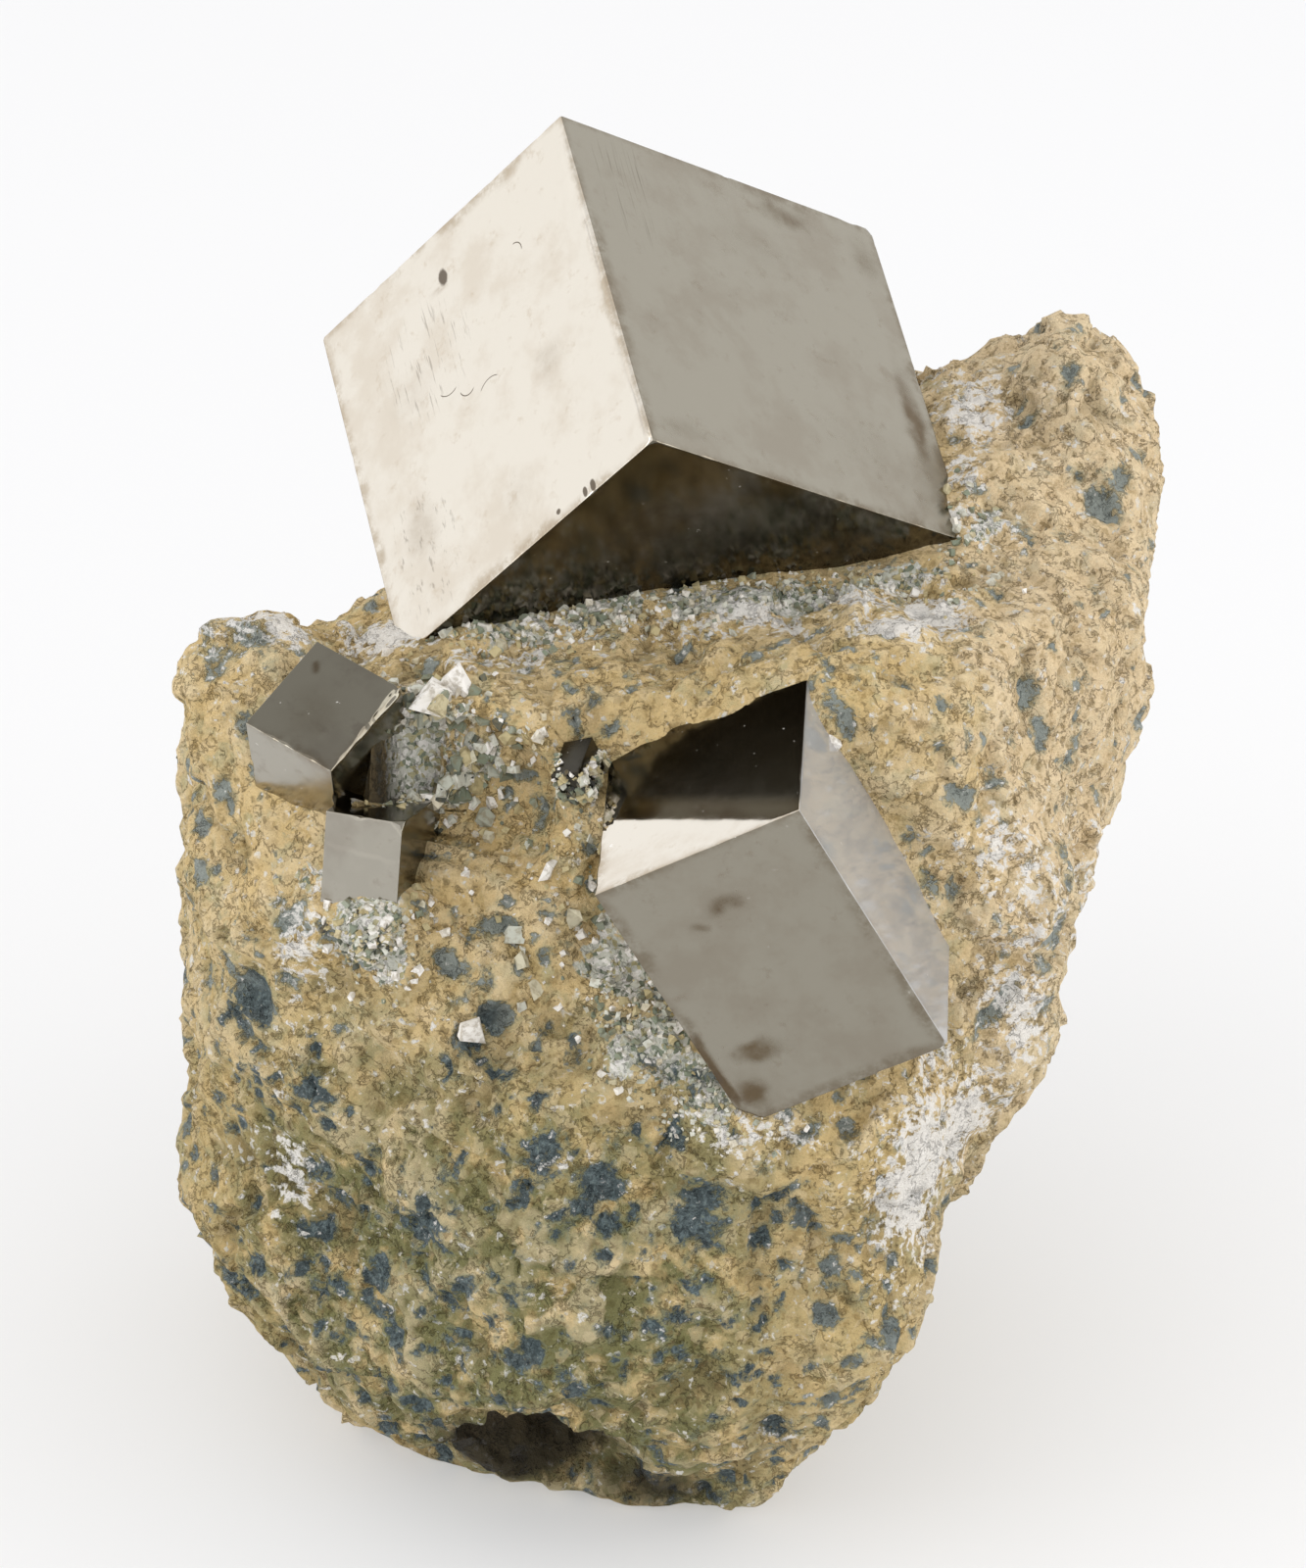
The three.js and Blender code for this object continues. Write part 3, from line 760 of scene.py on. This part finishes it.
def large_cube(material):
    size = CRYSTALS["large"]["size"]
    chips = [
        ((size[0] - 0.3, size[1] - 0.25, 0.2), (0.7, 0.6, -0.4)),
        ((size[0] - 0.15, 0.1, size[2] - 0.15), (0.6, -0.3, 0.7)),
        ((size[0] - 0.12, 0.12, 0.12), (0.5, -0.6, -0.6)),
        ((0.2, 0.2, 0.2), (-0.6, -0.6, -0.6)),
    ]
    local, shaped, quads = crystal_shape("large", 0.42, 41, 0.010, 0.26, chips)
    shaped = growth_plate(local, shaped)
    piece = new_mesh("large_cube_crystal", out_of_crystal(shaped, "large"), quads)
    dust = 0.25 * smoothstep(local[:, 2], 24, 36) * (local[:, 1] < 0.1)
    dust = np.maximum(dust, 0.5 * (local[:, 0] < 0.1))
    # Painted reflection: each face's stored tone stands in for what it mirrors, the underside (axis 0) dark
    # for the shaded rock below it, the left face (axis 1) bright and the right face (axis 2) mid-grey
    tone = face_values(local, {0: 0.18, 1: 0.89, 2: 0.40}, 0.8)
    blur = face_values(local, {0: 0.10, 1: 0.14, 2: 0.18}, 0.15)
    finish_crystal(piece, "large_cube", "pyrite_bright", material, local, LARGE_MARKS,
                   tone=tone, blur=blur, dust=dust)


def middle_cube(material):
    size = CRYSTALS["middle"]["size"]
    chips = [
        ((size[0] - 0.9, size[1] - 0.9, 0.2), (0.62, 0.7, -0.3)),
        ((size[0] - 0.2, 0.2, 0.2), (0.6, -0.6, -0.6)),
    ]
    local, shaped, quads = crystal_shape("middle", 0.36, 53, 0.008, 0.2, chips)
    piece = new_mesh("middle_block_crystal", out_of_crystal(shaped, "middle"), quads)
    dust = np.where(local[:, 0] < 0.1, 1.0, 0.18)
    # Painted reflection: each face's stored tone stands in for what it mirrors, the upper-left face (axis 0)
    # bright, the right face (axis 1) lighter and the front face (axis 2) darker
    tone = face_values(local, {0: 0.92, 1: 0.70, 2: 0.38}, 0.7)
    # Painted reflection: on the upper-left face (axis 0), the part on one side of a straight line is made
    # dark and a little rougher, standing in for the large cube's dark underside mirrored there
    painted_dark_reflection = smoothstep(local[:, 2] - 0.66 * local[:, 1], 0.3, 2.6) * (local[:, 0] < 0.3)
    tone *= 1 - 0.84 * painted_dark_reflection
    blur = face_values(local, {0: 0.02, 1: 0.07, 2: 0.18}, 0.15) + 0.1 * painted_dark_reflection
    haze = face_values(local, {0: 0, 1: 0.72, 2: 0}, 0)
    finish_crystal(piece, "middle_cube", "pyrite_bright", material, local, MIDDLE_MARKS,
                   tone=tone, blur=blur, dust=dust, haze=haze)


def small_cubes(material):
    """Both small cubes in one mesh, the lower one's places kept far from the marks."""
    points, locals_, quads, tone = [], [], [], []
    # Painted reflection: the stored tone listed for each face darkens it, standing in for the dim
    # surroundings it mirrors
    for name, seed, chip, apart, tones in (
        ("small_upper", 61, ((0.2, 5, 0.2), (-0.7, 0.05, -0.7)), 0, {0: 0.30, 1: 0.54, 2: 0.22}),
        ("small_lower", 67, ((0.3, 0.3, 0.3), (-0.6, -0.6, -0.6)), 100, {0: 0.28, 1: 0.32, 2: 0.53}),
    ):
        local, shaped, rings = crystal_shape(name, 0.26, seed, 0.02, 0.5, [chip])
        first = sum(len(part) for part in points)
        quads += [[n + first for n in ring] for ring in rings]
        points.append(out_of_crystal(shaped, name))
        locals_.append(local + apart)
        tone.append(face_values(local, tones, 0.5))
    piece = new_mesh("small_grown_cubes", np.concatenate(points), quads)
    marks = [((8, 8.6, 0), (0.5, 0.5, 0.5), 0.5), ((5, 4, 0), (3, 4, 1), 0.2)]
    finish_crystal(piece, "small_cubes", "pyrite_dark", material, np.concatenate(locals_), marks,
                   tone=np.concatenate(tone), blur=0.12, dust=0.55)


def tiny_cube(material):
    """Makes the tiny crystal, and gives the places and normals of its gritty lower part."""
    local, shaped, quads = crystal_shape("tiny", 0.22, 73, 0.01, 0.9)
    shaped = TINY_SUNK + shaped * (1 - TINY_SUNK / np.array(CRYSTALS["tiny"]["size"]))
    world = out_of_crystal(shaped, "tiny")
    piece = new_mesh("tiny_crystal", world, quads)
    # Painted shade: a stored tone of 0.07 makes the whole crystal nearly black, standing in for the shade of
    # the hollow it sits in
    finish_crystal(piece, "tiny_cube", "pyrite_dark", material, local, [], tone=0.07, blur=0.2, dust=1)
    outward = world - world.mean(axis=0)
    low = world[:, 2] < TINY_GRIT_TOP
    return world[low], (outward / np.linalg.norm(outward, axis=1, keepdims=True))[low]


# Rock

def outside_of(p, name):
    """Signed distance from a crystal's block, roughly, below zero inside."""
    size = np.array(CRYSTALS[name]["size"], float)
    q = np.abs(crystal_coordinates(p, name) - size / 2) - size / 2
    far = np.linalg.norm(np.maximum(q, 0), axis=1)
    return far + np.minimum(q.max(axis=1), 0)


def unsocketed_rock():
    """The CAD rock with each crystal's socket closed by a cap hidden in the crystal."""
    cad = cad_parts["matrix"]
    bm = bmesh.new()
    bm.from_mesh(cad.data)
    bmesh.ops.remove_doubles(bm, verts=bm.verts, dist=1e-6)
    bm.verts.ensure_lookup_table()
    p = np.array([v.co for v in bm.verts]) / MM - OFFSET
    on_walls = [np.abs(outside_box(p, name, SOCKET_GAP)) < 0.06 for name in CRYSTALS]
    walls = [face for face in bm.faces
             if any(all(on_wall[v.index] for v in face.verts) for on_wall in on_walls)]
    bmesh.ops.delete(bm, geom=walls, context="FACES")
    for edge in [e for e in bm.edges if not e.link_faces]:
        bm.edges.remove(edge)
    for vert in [v for v in bm.verts if not v.link_faces]:
        bm.verts.remove(vert)
    tuck_in(bm)
    cap_holes(bm)
    mesh = bpy.data.meshes.new("rock_rough")
    bm.to_mesh(mesh)
    bm.free()
    return mesh


def outside_box(p, name, grow):
    """Distance from the surface of a crystal's block grown all round, as a box measures it."""
    size = np.array(CRYSTALS[name]["size"], float)
    q = np.abs(crystal_coordinates(p, name) - size / 2) - size / 2 - grow
    return q.max(axis=1)


def tuck_in(bm):
    """Moves each rim of a socket a little into its crystal, so that the rock meets it."""
    rim = [v for v in bm.verts if v.is_boundary]
    p = np.array([v.co for v in rim]) / MM - OFFSET
    for name, crystal in CRYSTALS.items():
        size = np.array(crystal["size"], float)
        close = np.abs(outside_box(p, name, SOCKET_GAP)) < 0.1
        inner = np.clip(crystal_coordinates(p, name), 0.5, size - 0.5)
        moved = out_of_crystal(inner, name)
        p[close] = moved[close]
    for vert, place in zip(rim, to_frame(p)):
        vert.co = Vector(place)


def cap_holes(bm):
    """A fan of triangles from the middle of each open loop to its edges."""
    found = set()
    for first in [e for e in bm.edges if e.is_boundary]:
        if first in found:
            continue
        found.add(first)
        loop = [first]
        for edge in loop:
            for other in [e for v in edge.verts for e in v.link_edges]:
                if other.is_boundary and other not in found:
                    found.add(other)
                    loop.append(other)
        verts = list(dict.fromkeys(v for e in loop for v in e.verts))
        centre = bm.verts.new(sum((v.co for v in verts), Vector()) / len(verts))
        for edge in loop:
            face = edge.link_faces[0]
            ring = list(face.verts)
            a, b = edge.verts
            if ring[(ring.index(a) + 1) % len(ring)] == b:
                a, b = b, a
            bm.faces.new((a, b, centre))


def even_copy(mesh, smoothing):
    """An even, smoothed copy of a closed mesh."""
    rough = new_object("rock_rough", mesh)
    even = rough.modifiers.new("even", "REMESH")
    even.mode = "VOXEL"
    even.voxel_size = ROCK_VOXEL * MM
    smooth = rough.modifiers.new("smooth", "SMOOTH")
    smooth.factor = 0.5
    smooth.iterations = smoothing
    depsgraph = bpy.context.evaluated_depsgraph_get()
    made = bpy.data.meshes.new_from_object(rough.evaluated_get(depsgraph))
    bpy.data.objects.remove(rough)
    return made


def refine_seen_side(mesh):
    """Meshes the side that the camera sees twice as finely."""
    bm = bmesh.new()
    bm.from_mesh(mesh)
    toward = Vector(TOWARD_CAMERA)
    seen = [edge for edge in bm.edges
            if any(face.normal.dot(toward) > 0.05 for face in edge.link_faces)]
    bmesh.ops.subdivide_edges(bm, edges=seen, cuts=1, use_grid_fill=True)
    bm.to_mesh(mesh)
    bm.free()
    soften(mesh, 0.5)


def soften(mesh, factor):
    """Moves each point some way to the middle of its neighbours."""
    bm = bmesh.new()
    bm.from_mesh(mesh)
    bmesh.ops.smooth_vert(bm, verts=bm.verts, factor=factor,
                          use_axis_x=True, use_axis_y=True, use_axis_z=True)
    bm.to_mesh(mesh)
    bm.free()


def mesh_places(mesh):
    """The mesh's points in the crystals' millimetres, and their normals."""
    places = np.empty(len(mesh.vertices) * 3, np.float32)
    mesh.vertices.foreach_get("co", places)
    normals = np.empty(len(mesh.vertices) * 3, np.float32)
    mesh.vertices.foreach_get("normal", normals)
    return places.reshape(-1, 3) / MM - OFFSET, normals.reshape(-1, 3)


def move_mesh(mesh, p):
    mesh.vertices.foreach_set("co", to_frame(p).astype(np.float32).ravel())
    mesh.update()


# Where the marl is powdery, gritty or blue-grey, and where shade is painted near black on it: middle, half
# sizes, strength
POWDER_SPOTS = [
    ((-36, 6, 84), (8, 4, 3), 0.85),
    ((-25, 10, 82), (5, 3, 3), 1.0),
    ((-21, -3, 84), (3.5, 3, 3), 0.9),
    ((-14, 3, 84), (6, 2.2, 3), 0.75),
    ((22, 1, 86), (3.6, 3.2, 4), 1.6),
    ((20, 8, 86), (3, 3, 4), 1.0),
    ((26, 7, 86), (2.8, 4.5, 4), 1.3),
    ((8, 6, 85), (8, 2.2, 3), 0.95),
    ((30, 36, 92), (3, 6, 4), 1.0),
    ((29, 25, 91), (1.8, 6, 4), 0.9),
    ((30, 19, 88), (5, 2, 1.6), 0.6),
    ((31, -10, 70), (3, 4, 5), 0.75),
    ((35, -9, 64), (3, 4, 7), 0.75),
    ((33, -12, 56), (3.5, 4, 8), 0.8),
    ((29, -15, 44), (4.5, 6, 6), 1.1),
    ((24, -23, 44), (5, 6, 9), 1.35),
    ((25, -19, 53), (3, 3, 3), 0.7),
    ((-34, -14, 38), (3, 4, 4.5), 0.62),
    ((-32, -14, 62), (2.6, 3, 9), 0.6),
    ((10, -27, 51), (6, 3, 2), 0.7),
    ((2, -27, 26), (1.5, 3, 1.3), 0.9),
    ((40, 8, 52), (4, 8, 12), 0.5),
]
GRIT_SPOTS = [
    ((-13, 7, 84), (5, 3.2, 3), 1.0),
    ((-4, 8.5, 84), (6, 3, 3), 1.0),
    ((6, 9, 85), (6, 3.2, 3), 1.0),
    ((15, 11, 85), (6, 3.4, 3), 1.0),
    ((24, 13, 87), (5, 3.6, 3), 0.9),
    ((-25, -17, 65), (4, 4, 4.5), 1.15),
    ((-31, -14, 72), (3, 4, 5), 0.8),
    ((-3, -18, 63), (4, 5, 5), 0.95),
    ((1, -23, 57), (4, 5, 4), 1.0),
    ((6, -26, 53), (4, 4, 3), 0.9),
    ((-17, -8, 77), (4.5, 5, 5), 1.1),
    ((-21, -7, 77), (3.5, 5, 5), 1.2),
    ((-7, -10, 80), (4, 3.5, 3.5), 0.9),
    ((31, 19, 88), (3, 3, 2), 0.7),
]
# Painted shade: near black laid where shade falls, in the cave under the rock's front, under and beside the
# small cubes and in the hollow by the tiny crystal
PAINTED_SHADE_SPOTS = [
    ((-12, -18, 10), (8, 7, 7), 1.8),
    ((0, -17, 4), (8, 6, 5), 0.7),
    ((-16, -7, 75), (3.5, 5, 4), 0.5),
    ((-24, -9, 79), (4, 5, 4), 0.9),
    ((-20.5, -7, 78), (2.2, 4, 4), 0.5),
    ((-25, -17, 65), (3, 4, 3), 0.55),
    ((-6, -13, 77), (2.6, 3, 2), 0.7),
]
SLATE_SPOTS = [
    ((-31, -16, 48), (1.9, 2.5, 2.0), 1.0),
    ((4, -28, 43), (2.8, 2.5, 3.2), 1.0),
    ((-16, -23, 57), (3.4, 2.5, 1.9), 1.0),
    ((-21, -23, 38), (2.8, 2.5, 2.6), 0.95),
    ((-14, -14, 64), (2.2, 2.5, 1.6), 0.9),
    ((-38, 4, 84), (5, 3, 2), 0.75),
    ((-13, -10, 80), (2, 2.5, 1.6), 0.9),
    ((-5, -28, 42), (1.7, 2.5, 2.0), 0.95),
    ((-10, -27, 49), (1.8, 2.5, 2.0), 0.9),
    ((-4, -25, 49), (1.6, 2.5, 1.9), 0.9),
]
# Hollows pressed into the rock: middle, half sizes, and the way they are pressed
HOLLOWS = [
    ((-16, -13, 76), (8, 8.5, 8), (0.1, 0.85, -0.5)),
    ((-9, -28, 7), (10, 14, 12), (0, 1, 0.1)),
    ((2, -26, 3), (7, 9, 8), (-0.2, 1, 0.1)),
    ((25, 38, 97), (9, 12, 6.5), (0, 0, -1)),
    ((-12, -24, 61), (8, 6, 6), (0.1, 0.9, -0.3)),
]
# Mounds raised from it: middle, half sizes, height
MOUNDS = [
    ((-35, 8, 82), (5, 6, 5), 2.2),
    ((-25.5, -17, 65.5), (4, 4, 2.6), 3.2),
    ((-8, -13, 78), (2.6, 3, 2.6), 2.2),
    ((34, -10, 66), (3, 5, 7), 1.2),
    ((24, -22, 48), (4, 6, 6), 1.0),
]


# Crystal faces that the rock leaves clear: crystal, face axis, how far along the other
# two edges, how steeply the rock may rise beside it, and how far up rock is taken away
CLEAR_FACES = [
    ("middle", 0, (20.2, 19.6), 0.45, 9),
    ("small_lower", 0, (7.3, 11.3), 1.6, 6),
    ("small_lower", 1, (6.8, 10.5), 1.8, 4),
    ("small_upper", 0, (10.8, 6), 1.6, 5),
    ("small_upper", 2, (9.5, 10.8), 1.2, 6),
]


def cleared(p, slope_factor, base):
    """The points, lowered wherever they would stand over a clear crystal face."""
    moved = p.copy()
    for name, axis, reach, slope, top in CLEAR_FACES:
        local = crystal_coordinates(moved, name)
        others = [n for n in range(3) if n != axis]
        aside = np.zeros(len(p))
        for other, length in zip(others, reach):
            past = np.maximum(-local[:, other], local[:, other] - length)
            aside += np.maximum(past, 0) ** 2
        aside = np.sqrt(aside)
        allowed = base + slope * slope_factor * aside
        height = -local[:, axis]
        low = (height > allowed) & (height < top) & (aside < 4)
        local[low, axis] = -allowed[low]
        moved[low] = out_of_crystal(local[low], name)
    return moved


def pressed(p):
    """The points, pushed through the hollows to their far walls."""
    moved = p.copy()
    for centre, half, way in HOLLOWS:
        half = np.array(half, float)
        way = np.array(way, float) / np.linalg.norm(way)
        q = (moved - np.array(centre, float)) / half
        q *= (1 + 0.10 * swell(moved, 6, 131))[:, None]
        step = way / half
        along = q @ step
        gap = np.maximum(along ** 2 - (step @ step) * ((q ** 2).sum(1) - 1), 0)
        inside = (q ** 2).sum(1) < 1
        travel = np.where(inside, (np.sqrt(gap) - along) / (step @ step), 0)
        moved += way * travel[:, None]
    return moved


def slate_depth(p):
    """Blue-grey marl spots: blots drawn ragged, most of them low on the left."""
    warped = wander(wander(p, 4.2, 1.4, 301), 1.5, 0.6, 311)
    low_left = smoothstep(66 - p[:, 2], -14, 34) * smoothstep(24 - p[:, 0], -16, 34)
    crowd = 0.75 + 0.55 * swell(p, 13, 341)
    share = (0.34 + 0.50 * low_left) * crowd
    large = blots(warped, 6.4, (0.8, 2.4), share * 0.7, 321)
    middle = blots(warped, 3.9, (0.6, 1.5), share, 331)
    small = blots(warped, 2.3, (0.35, 0.9), share, 351)
    named = 1.6 * (near_any(warped, SLATE_SPOTS) - 0.5)
    depth = np.maximum(np.maximum(large, middle), np.maximum(small, named))
    return depth - 0.42 * np.maximum(0, rough_swell(p, 1.4, 361, 2) + 0.2)


def rock_relief(p):
    """Height of the fine relief over the smoothed rock, in millimetres."""
    q = wander(p, 9, 1.6, 201)
    q = wander(q, 3, 0.6, 205)
    stretched = q * np.array([1, 1, 0.8])
    height = 1.1 * swell(p, 12, 209)
    height += 1.8 * scoops(stretched, 9, 211)
    height += 0.95 * flakes(q, 5.6, 221, 1.2)
    height += 0.80 * scoops(stretched, 3.4, 231)
    height += 0.42 * flakes(q, 2.4, 241, 1.4)
    height += 0.42 * scoops(q, 1.5, 251)
    height += 0.10 * swell(q, 0.9, 261)
    return height


def clearances(p):
    """How far the nearest crystal is, and a rise from 0 on the patch that the rock stands on."""
    closest = np.min([outside_of(p, name) for name in CRYSTALS], axis=0)
    return closest, smoothstep(p[:, 2], 0.15, 3.0)


def rock_values(mesh, p, relief, slate):
    """Stored masks that the marl's material reads."""
    speckle = rough_swell(p, 2.6, 401)
    powder = near_any(wander(p, 4, 1.2, 411), POWDER_SPOTS) * (0.9 + 0.45 * speckle)
    scattered = smoothstep(rough_swell(p, 3.4, 421), 0.80, 1.25) * 0.5
    grit = near_any(wander(p, 4, 1.6, 431), GRIT_SPOTS)
    # The stored relief also carries painted shade in the rock's lows and painted highlights on its highs
    keep_value(mesh, "relief", 0.5 + relief / 4)
    keep_value(mesh, "slate", smoothstep(slate, -1.1, 0.55))
    keep_value(mesh, "powder", np.maximum(powder, scattered))
    keep_value(mesh, "grit", smoothstep(grit + 0.25 * speckle, 0.3, 0.75))
    # Partly the marl's own olive hue and partly painted shade: olive and darker towards the bottom of the
    # front
    front = smoothstep(-4 - p[:, 1] + 3 * speckle, 0, 14) * smoothstep(16 - p[:, 0], 0, 14)
    keep_value(mesh, "olive", smoothstep(62 - p[:, 2] + 6 * speckle, -6, 24) * (0.25 + 0.75 * front))
    keep_value(mesh, "rosy", 0.42 * smoothstep(p[:, 0] + 6 * speckle, 20, 34))
    # Painted shade: near black where shade falls in the cave and the nooks by the small crystals
    keep_value(mesh, "painted_shade", near_any(p, PAINTED_SHADE_SPOTS))


def shaped_rock():
    """The CAD rock with its hollows, mounds and clear crystal faces, smooth and even."""
    mesh = even_copy(unsocketed_rock(), 9)
    p, n = mesh_places(mesh)
    raised = np.zeros(len(p))
    for at, size, height in MOUNDS:
        raised += height * near_spot(p, at, size)
    _, above = clearances(p)
    move_mesh(mesh, cleared(pressed(p + n * (raised * above)[:, None]), 1, -0.6))
    mesh = even_copy(mesh, 6)
    refine_seen_side(mesh)
    return mesh


def rock(material):
    """Makes the rock, and gives its places, normals and distances from the crystals."""
    mesh = shaped_rock()
    mesh.name = "marl_rock"
    p, n = mesh_places(mesh)
    closest, above = clearances(p)
    relief = rock_relief(p)
    slate = slate_depth(p)
    pitted = relief - 0.6 * smoothstep(slate, -0.25, 0.5)
    calm = 0.35 + 0.65 * smoothstep(closest, 0.5, 4)
    move_mesh(mesh, p + n * (pitted * calm * above)[:, None])
    soften(mesh, 0.3)
    moved, n = mesh_places(mesh)
    moved = cleared(moved, 1.5, -0.35)
    moved[:, 2] = np.maximum(moved[:, 2], 0)
    move_mesh(mesh, moved)
    mesh.polygons.foreach_set("use_smooth", [True] * len(mesh.polygons))
    rock_values(mesh, p, pitted, slate)
    mesh.materials.clear()
    mesh.materials.append(material)
    piece = new_object("marl_rock", mesh)
    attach(piece, "root")
    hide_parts("matrix")
    return moved, n, closest


# Crumbs: middle, half sizes, how many, least and greatest size, least and greatest tone
CRUMB_FIELDS = [
    ((-13, 7, 85), (6, 3, 3), 220, (0.2, 0.8), (0.2, 1.0)),
    ((0, 9, 84), (8, 2.5, 2.5), 260, (0.2, 0.7), (0.25, 1.0)),
    ((16, 12, 84), (9, 2.5, 2.5), 260, (0.2, 0.7), (0.25, 1.0)),
    ((28, 16, 88), (3, 6, 5), 70, (0.2, 0.7), (0.2, 0.9)),
    ((-17, -6, 77), (4, 4, 5), 240, (0.25, 0.9), (0.15, 1.0)),
    ((-21, -7, 77), (2.4, 4, 4), 240, (0.25, 0.8), (0.12, 0.8)),
    ((-20, -3, 84), (2.4, 2, 3), 30, (0.3, 1.1), (0.7, 1.0)),
    ((-25, -17, 65), (3.2, 4, 3.4), 260, (0.25, 0.7), (0.1, 1.0)),
    ((-19, -7, 78), (3.5, 4.5, 4), 160, (0.4, 1.3), (0.12, 0.95)),
    ((-7, -9, 81), (3.4, 2.4, 2.4), 50, (0.2, 0.7), (0.1, 0.9)),
    ((-5.5, -13.5, 77), (2.2, 2.5, 1.8), 120, (0.2, 0.6), (0.0, 0.40)),
    ((-3, -11, 80.5), (2.6, 2.5, 1.5), 60, (0.2, 0.7), (0.55, 0.9)),
    ((-5, -15, 68), (4, 5, 7), 120, (0.2, 0.8), (0.2, 1.0)),
    ((-1, -21, 59), (4, 4, 4), 220, (0.2, 0.7), (0.15, 0.9)),
    ((6, -26, 53), (5, 4, 3), 130, (0.2, 0.6), (0.2, 1.0)),
    ((-10, -14, 72), (10, 5, 10), 80, (0.2, 0.8), (0.4, 1.0)),
]


# Single larger chips: place, size, tone
CHIPS = [
    ((-20.6, -4.6, 83.6), 3.0, 0.95), ((-19, -2.5, 84), 2.4, 0.95), ((15.4, -11.5, 82), 2.2, 0.95),
    ((-11.5, -14.2, 63.5), 2.2, 0.40), ((-9.5, -13.6, 70), 1.7, 0.92), ((-16.5, -21, 57.5), 2.0, 0.85),
    ((-7, -15, 66), 1.4, 0.6), ((-11, -15, 60.5), 1.8, 0.6), ((-9.6, -15.5, 60), 1.5, 0.6),
]


def crumb_shape(rng, size):
    """A small angular chip: a squashed block with its corners pulled about."""
    corners = np.array([[i, j, k] for i in (-1, 1) for j in (-1, 1) for k in (-1, 1)], float)
    corners *= rng.uniform(0.55, 1.0, 3) * (1, 1, 0.7)
    corners += rng.uniform(-0.35, 0.35, (8, 3))
    turn = np.linalg.qr(rng.normal(size=(3, 3)))[0]
    return corners @ turn * size / 2


def crumbs(material, p, n, closest):
    """Joined grains at random points that the fields pick, and the single chips."""
    rng = np.random.default_rng(5)
    block = [[0, 1, 3, 2], [4, 6, 7, 5], [0, 4, 5, 1], [2, 3, 7, 6], [0, 2, 6, 4], [1, 5, 7, 3]]
    points, faces, tones = [], [], []
    for at, size, number, sizes, tone_range in CRUMB_FIELDS:
        weight = near_spot(p, at, size) * (closest > 0.1)
        weight /= weight.sum()
        for spot in rng.choice(len(p), number, p=weight):
            width = sizes[0] + (sizes[1] - sizes[0]) * rng.random() ** 2
            centre = p[spot] + n[spot] * width * 0.12
            start = len(points) * 8
            points.append(centre + crumb_shape(rng, width * 1.3))
            faces += [[start + c for c in ring] for ring in block]
            tones += [rng.uniform(*tone_range)] * 8
    for at, size, tone in CHIPS:
        nearest = np.argmin(((p - np.array(at)) ** 2).sum(1))
        start = len(points) * 8
        points.append(p[nearest] + crumb_shape(rng, size * 1.2))
        faces += [[start + c for c in ring] for ring in block]
        tones += [tone] * 8
    piece = new_mesh("marl_crumbs", np.concatenate(points), faces, smooth=False)
    keep_value(piece.data, "tone", np.array(tones))
    piece.data.materials.append(material)
    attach(piece, "root")


# Studio

def floor():
    corners = [(x * FLOOR_HALF, y * FLOOR_HALF, -FLOOR_GAP) for x, y in ((-1, -1), (1, -1), (1, 1), (-1, 1))]
    piece = new_mesh("studio_floor", corners, [[0, 1, 2, 3]])
    piece.data.materials.append(floor_material())


def softbox(name, at, aim, side, radiance):
    """A square light of that side, in millimetres, with the power that its radiance takes."""
    lamp = bpy.data.lights.new(name, "AREA")
    lamp.shape = "SQUARE"
    lamp.size = side * MM
    lamp.energy = radiance * math.pi * (side * MM) ** 2
    holder = new_object(name, lamp)
    holder.location = to_frame(at)
    toward = Vector(to_frame(aim)) - Vector(to_frame(at))
    holder.rotation_euler = toward.to_track_quat("-Z", "Y").to_euler()


def studio_light():
    world = bpy.data.worlds.new("studio")
    world.use_nodes = True
    tree = world.node_tree
    tree.nodes.clear()
    up = tree.nodes.new("ShaderNodeTexCoord").outputs["Generated"]
    height = add(tree, "ShaderNodeSeparateXYZ", Vector=up).outputs["Z"]
    color = blend_colors(tree, steps(tree, height, 0.05, 0.95), (0.92, 0.92, 0.925), (0.74, 0.74, 0.745))
    shade = add(tree, "ShaderNodeBackground", Color=color, Strength=1.32)
    output = tree.nodes.new("ShaderNodeOutputWorld")
    tree.links.new(shade.outputs[0], output.inputs[0])
    bpy.context.scene.world = world
    softbox("key_box", (-260, -260, 740), (0, 0, 50), 450, 0.7)
    softbox("right_box", (650, -150, 260), (20, 0, 40), 450, 2.2)
    softbox("left_box", (-650, -250, 260), (-20, 0, 40), 400, 2.0)


def camera():
    lens = bpy.data.cameras.new("photo_camera")
    lens.lens = CAMERA_LENS
    lens.sensor_width = CAMERA_SENSOR
    lens.sensor_fit = "AUTO"
    lens.clip_start = 0.01
    lens.clip_end = 20
    holder = new_object("photo_camera", lens)
    holder.location = to_frame(CAMERA_AT)
    holder.rotation_euler = (math.radians(90 - CAMERA_ELEVATION), 0, 0)
    bpy.context.scene.camera = holder


camera()
studio_light()
floor()
bpy.context.scene.view_settings.view_transform = "Standard"
bright = pyrite_material("bright_pyrite", BRIGHT_METAL, BRIGHT_TARNISH)
marked = pyrite_material("marked_pyrite", BRIGHT_METAL, BRIGHT_TARNISH,
                         LARGE_SPOTS, LARGE_ARCS, LARGE_SCRATCHED)
dark = pyrite_material("dark_pyrite", DARK_METAL, DARK_TARNISH)
large_cube(marked)
middle_cube(bright)
small_cubes(dark)
tiny_points, tiny_normals = tiny_cube(dark)
rock_points, rock_normals, rock_clearance = rock(marl_material())
crumbs(crumb_material(), np.concatenate([rock_points, tiny_points]),
       np.concatenate([rock_normals, tiny_normals]),
       np.concatenate([rock_clearance, np.ones(len(tiny_points))]))
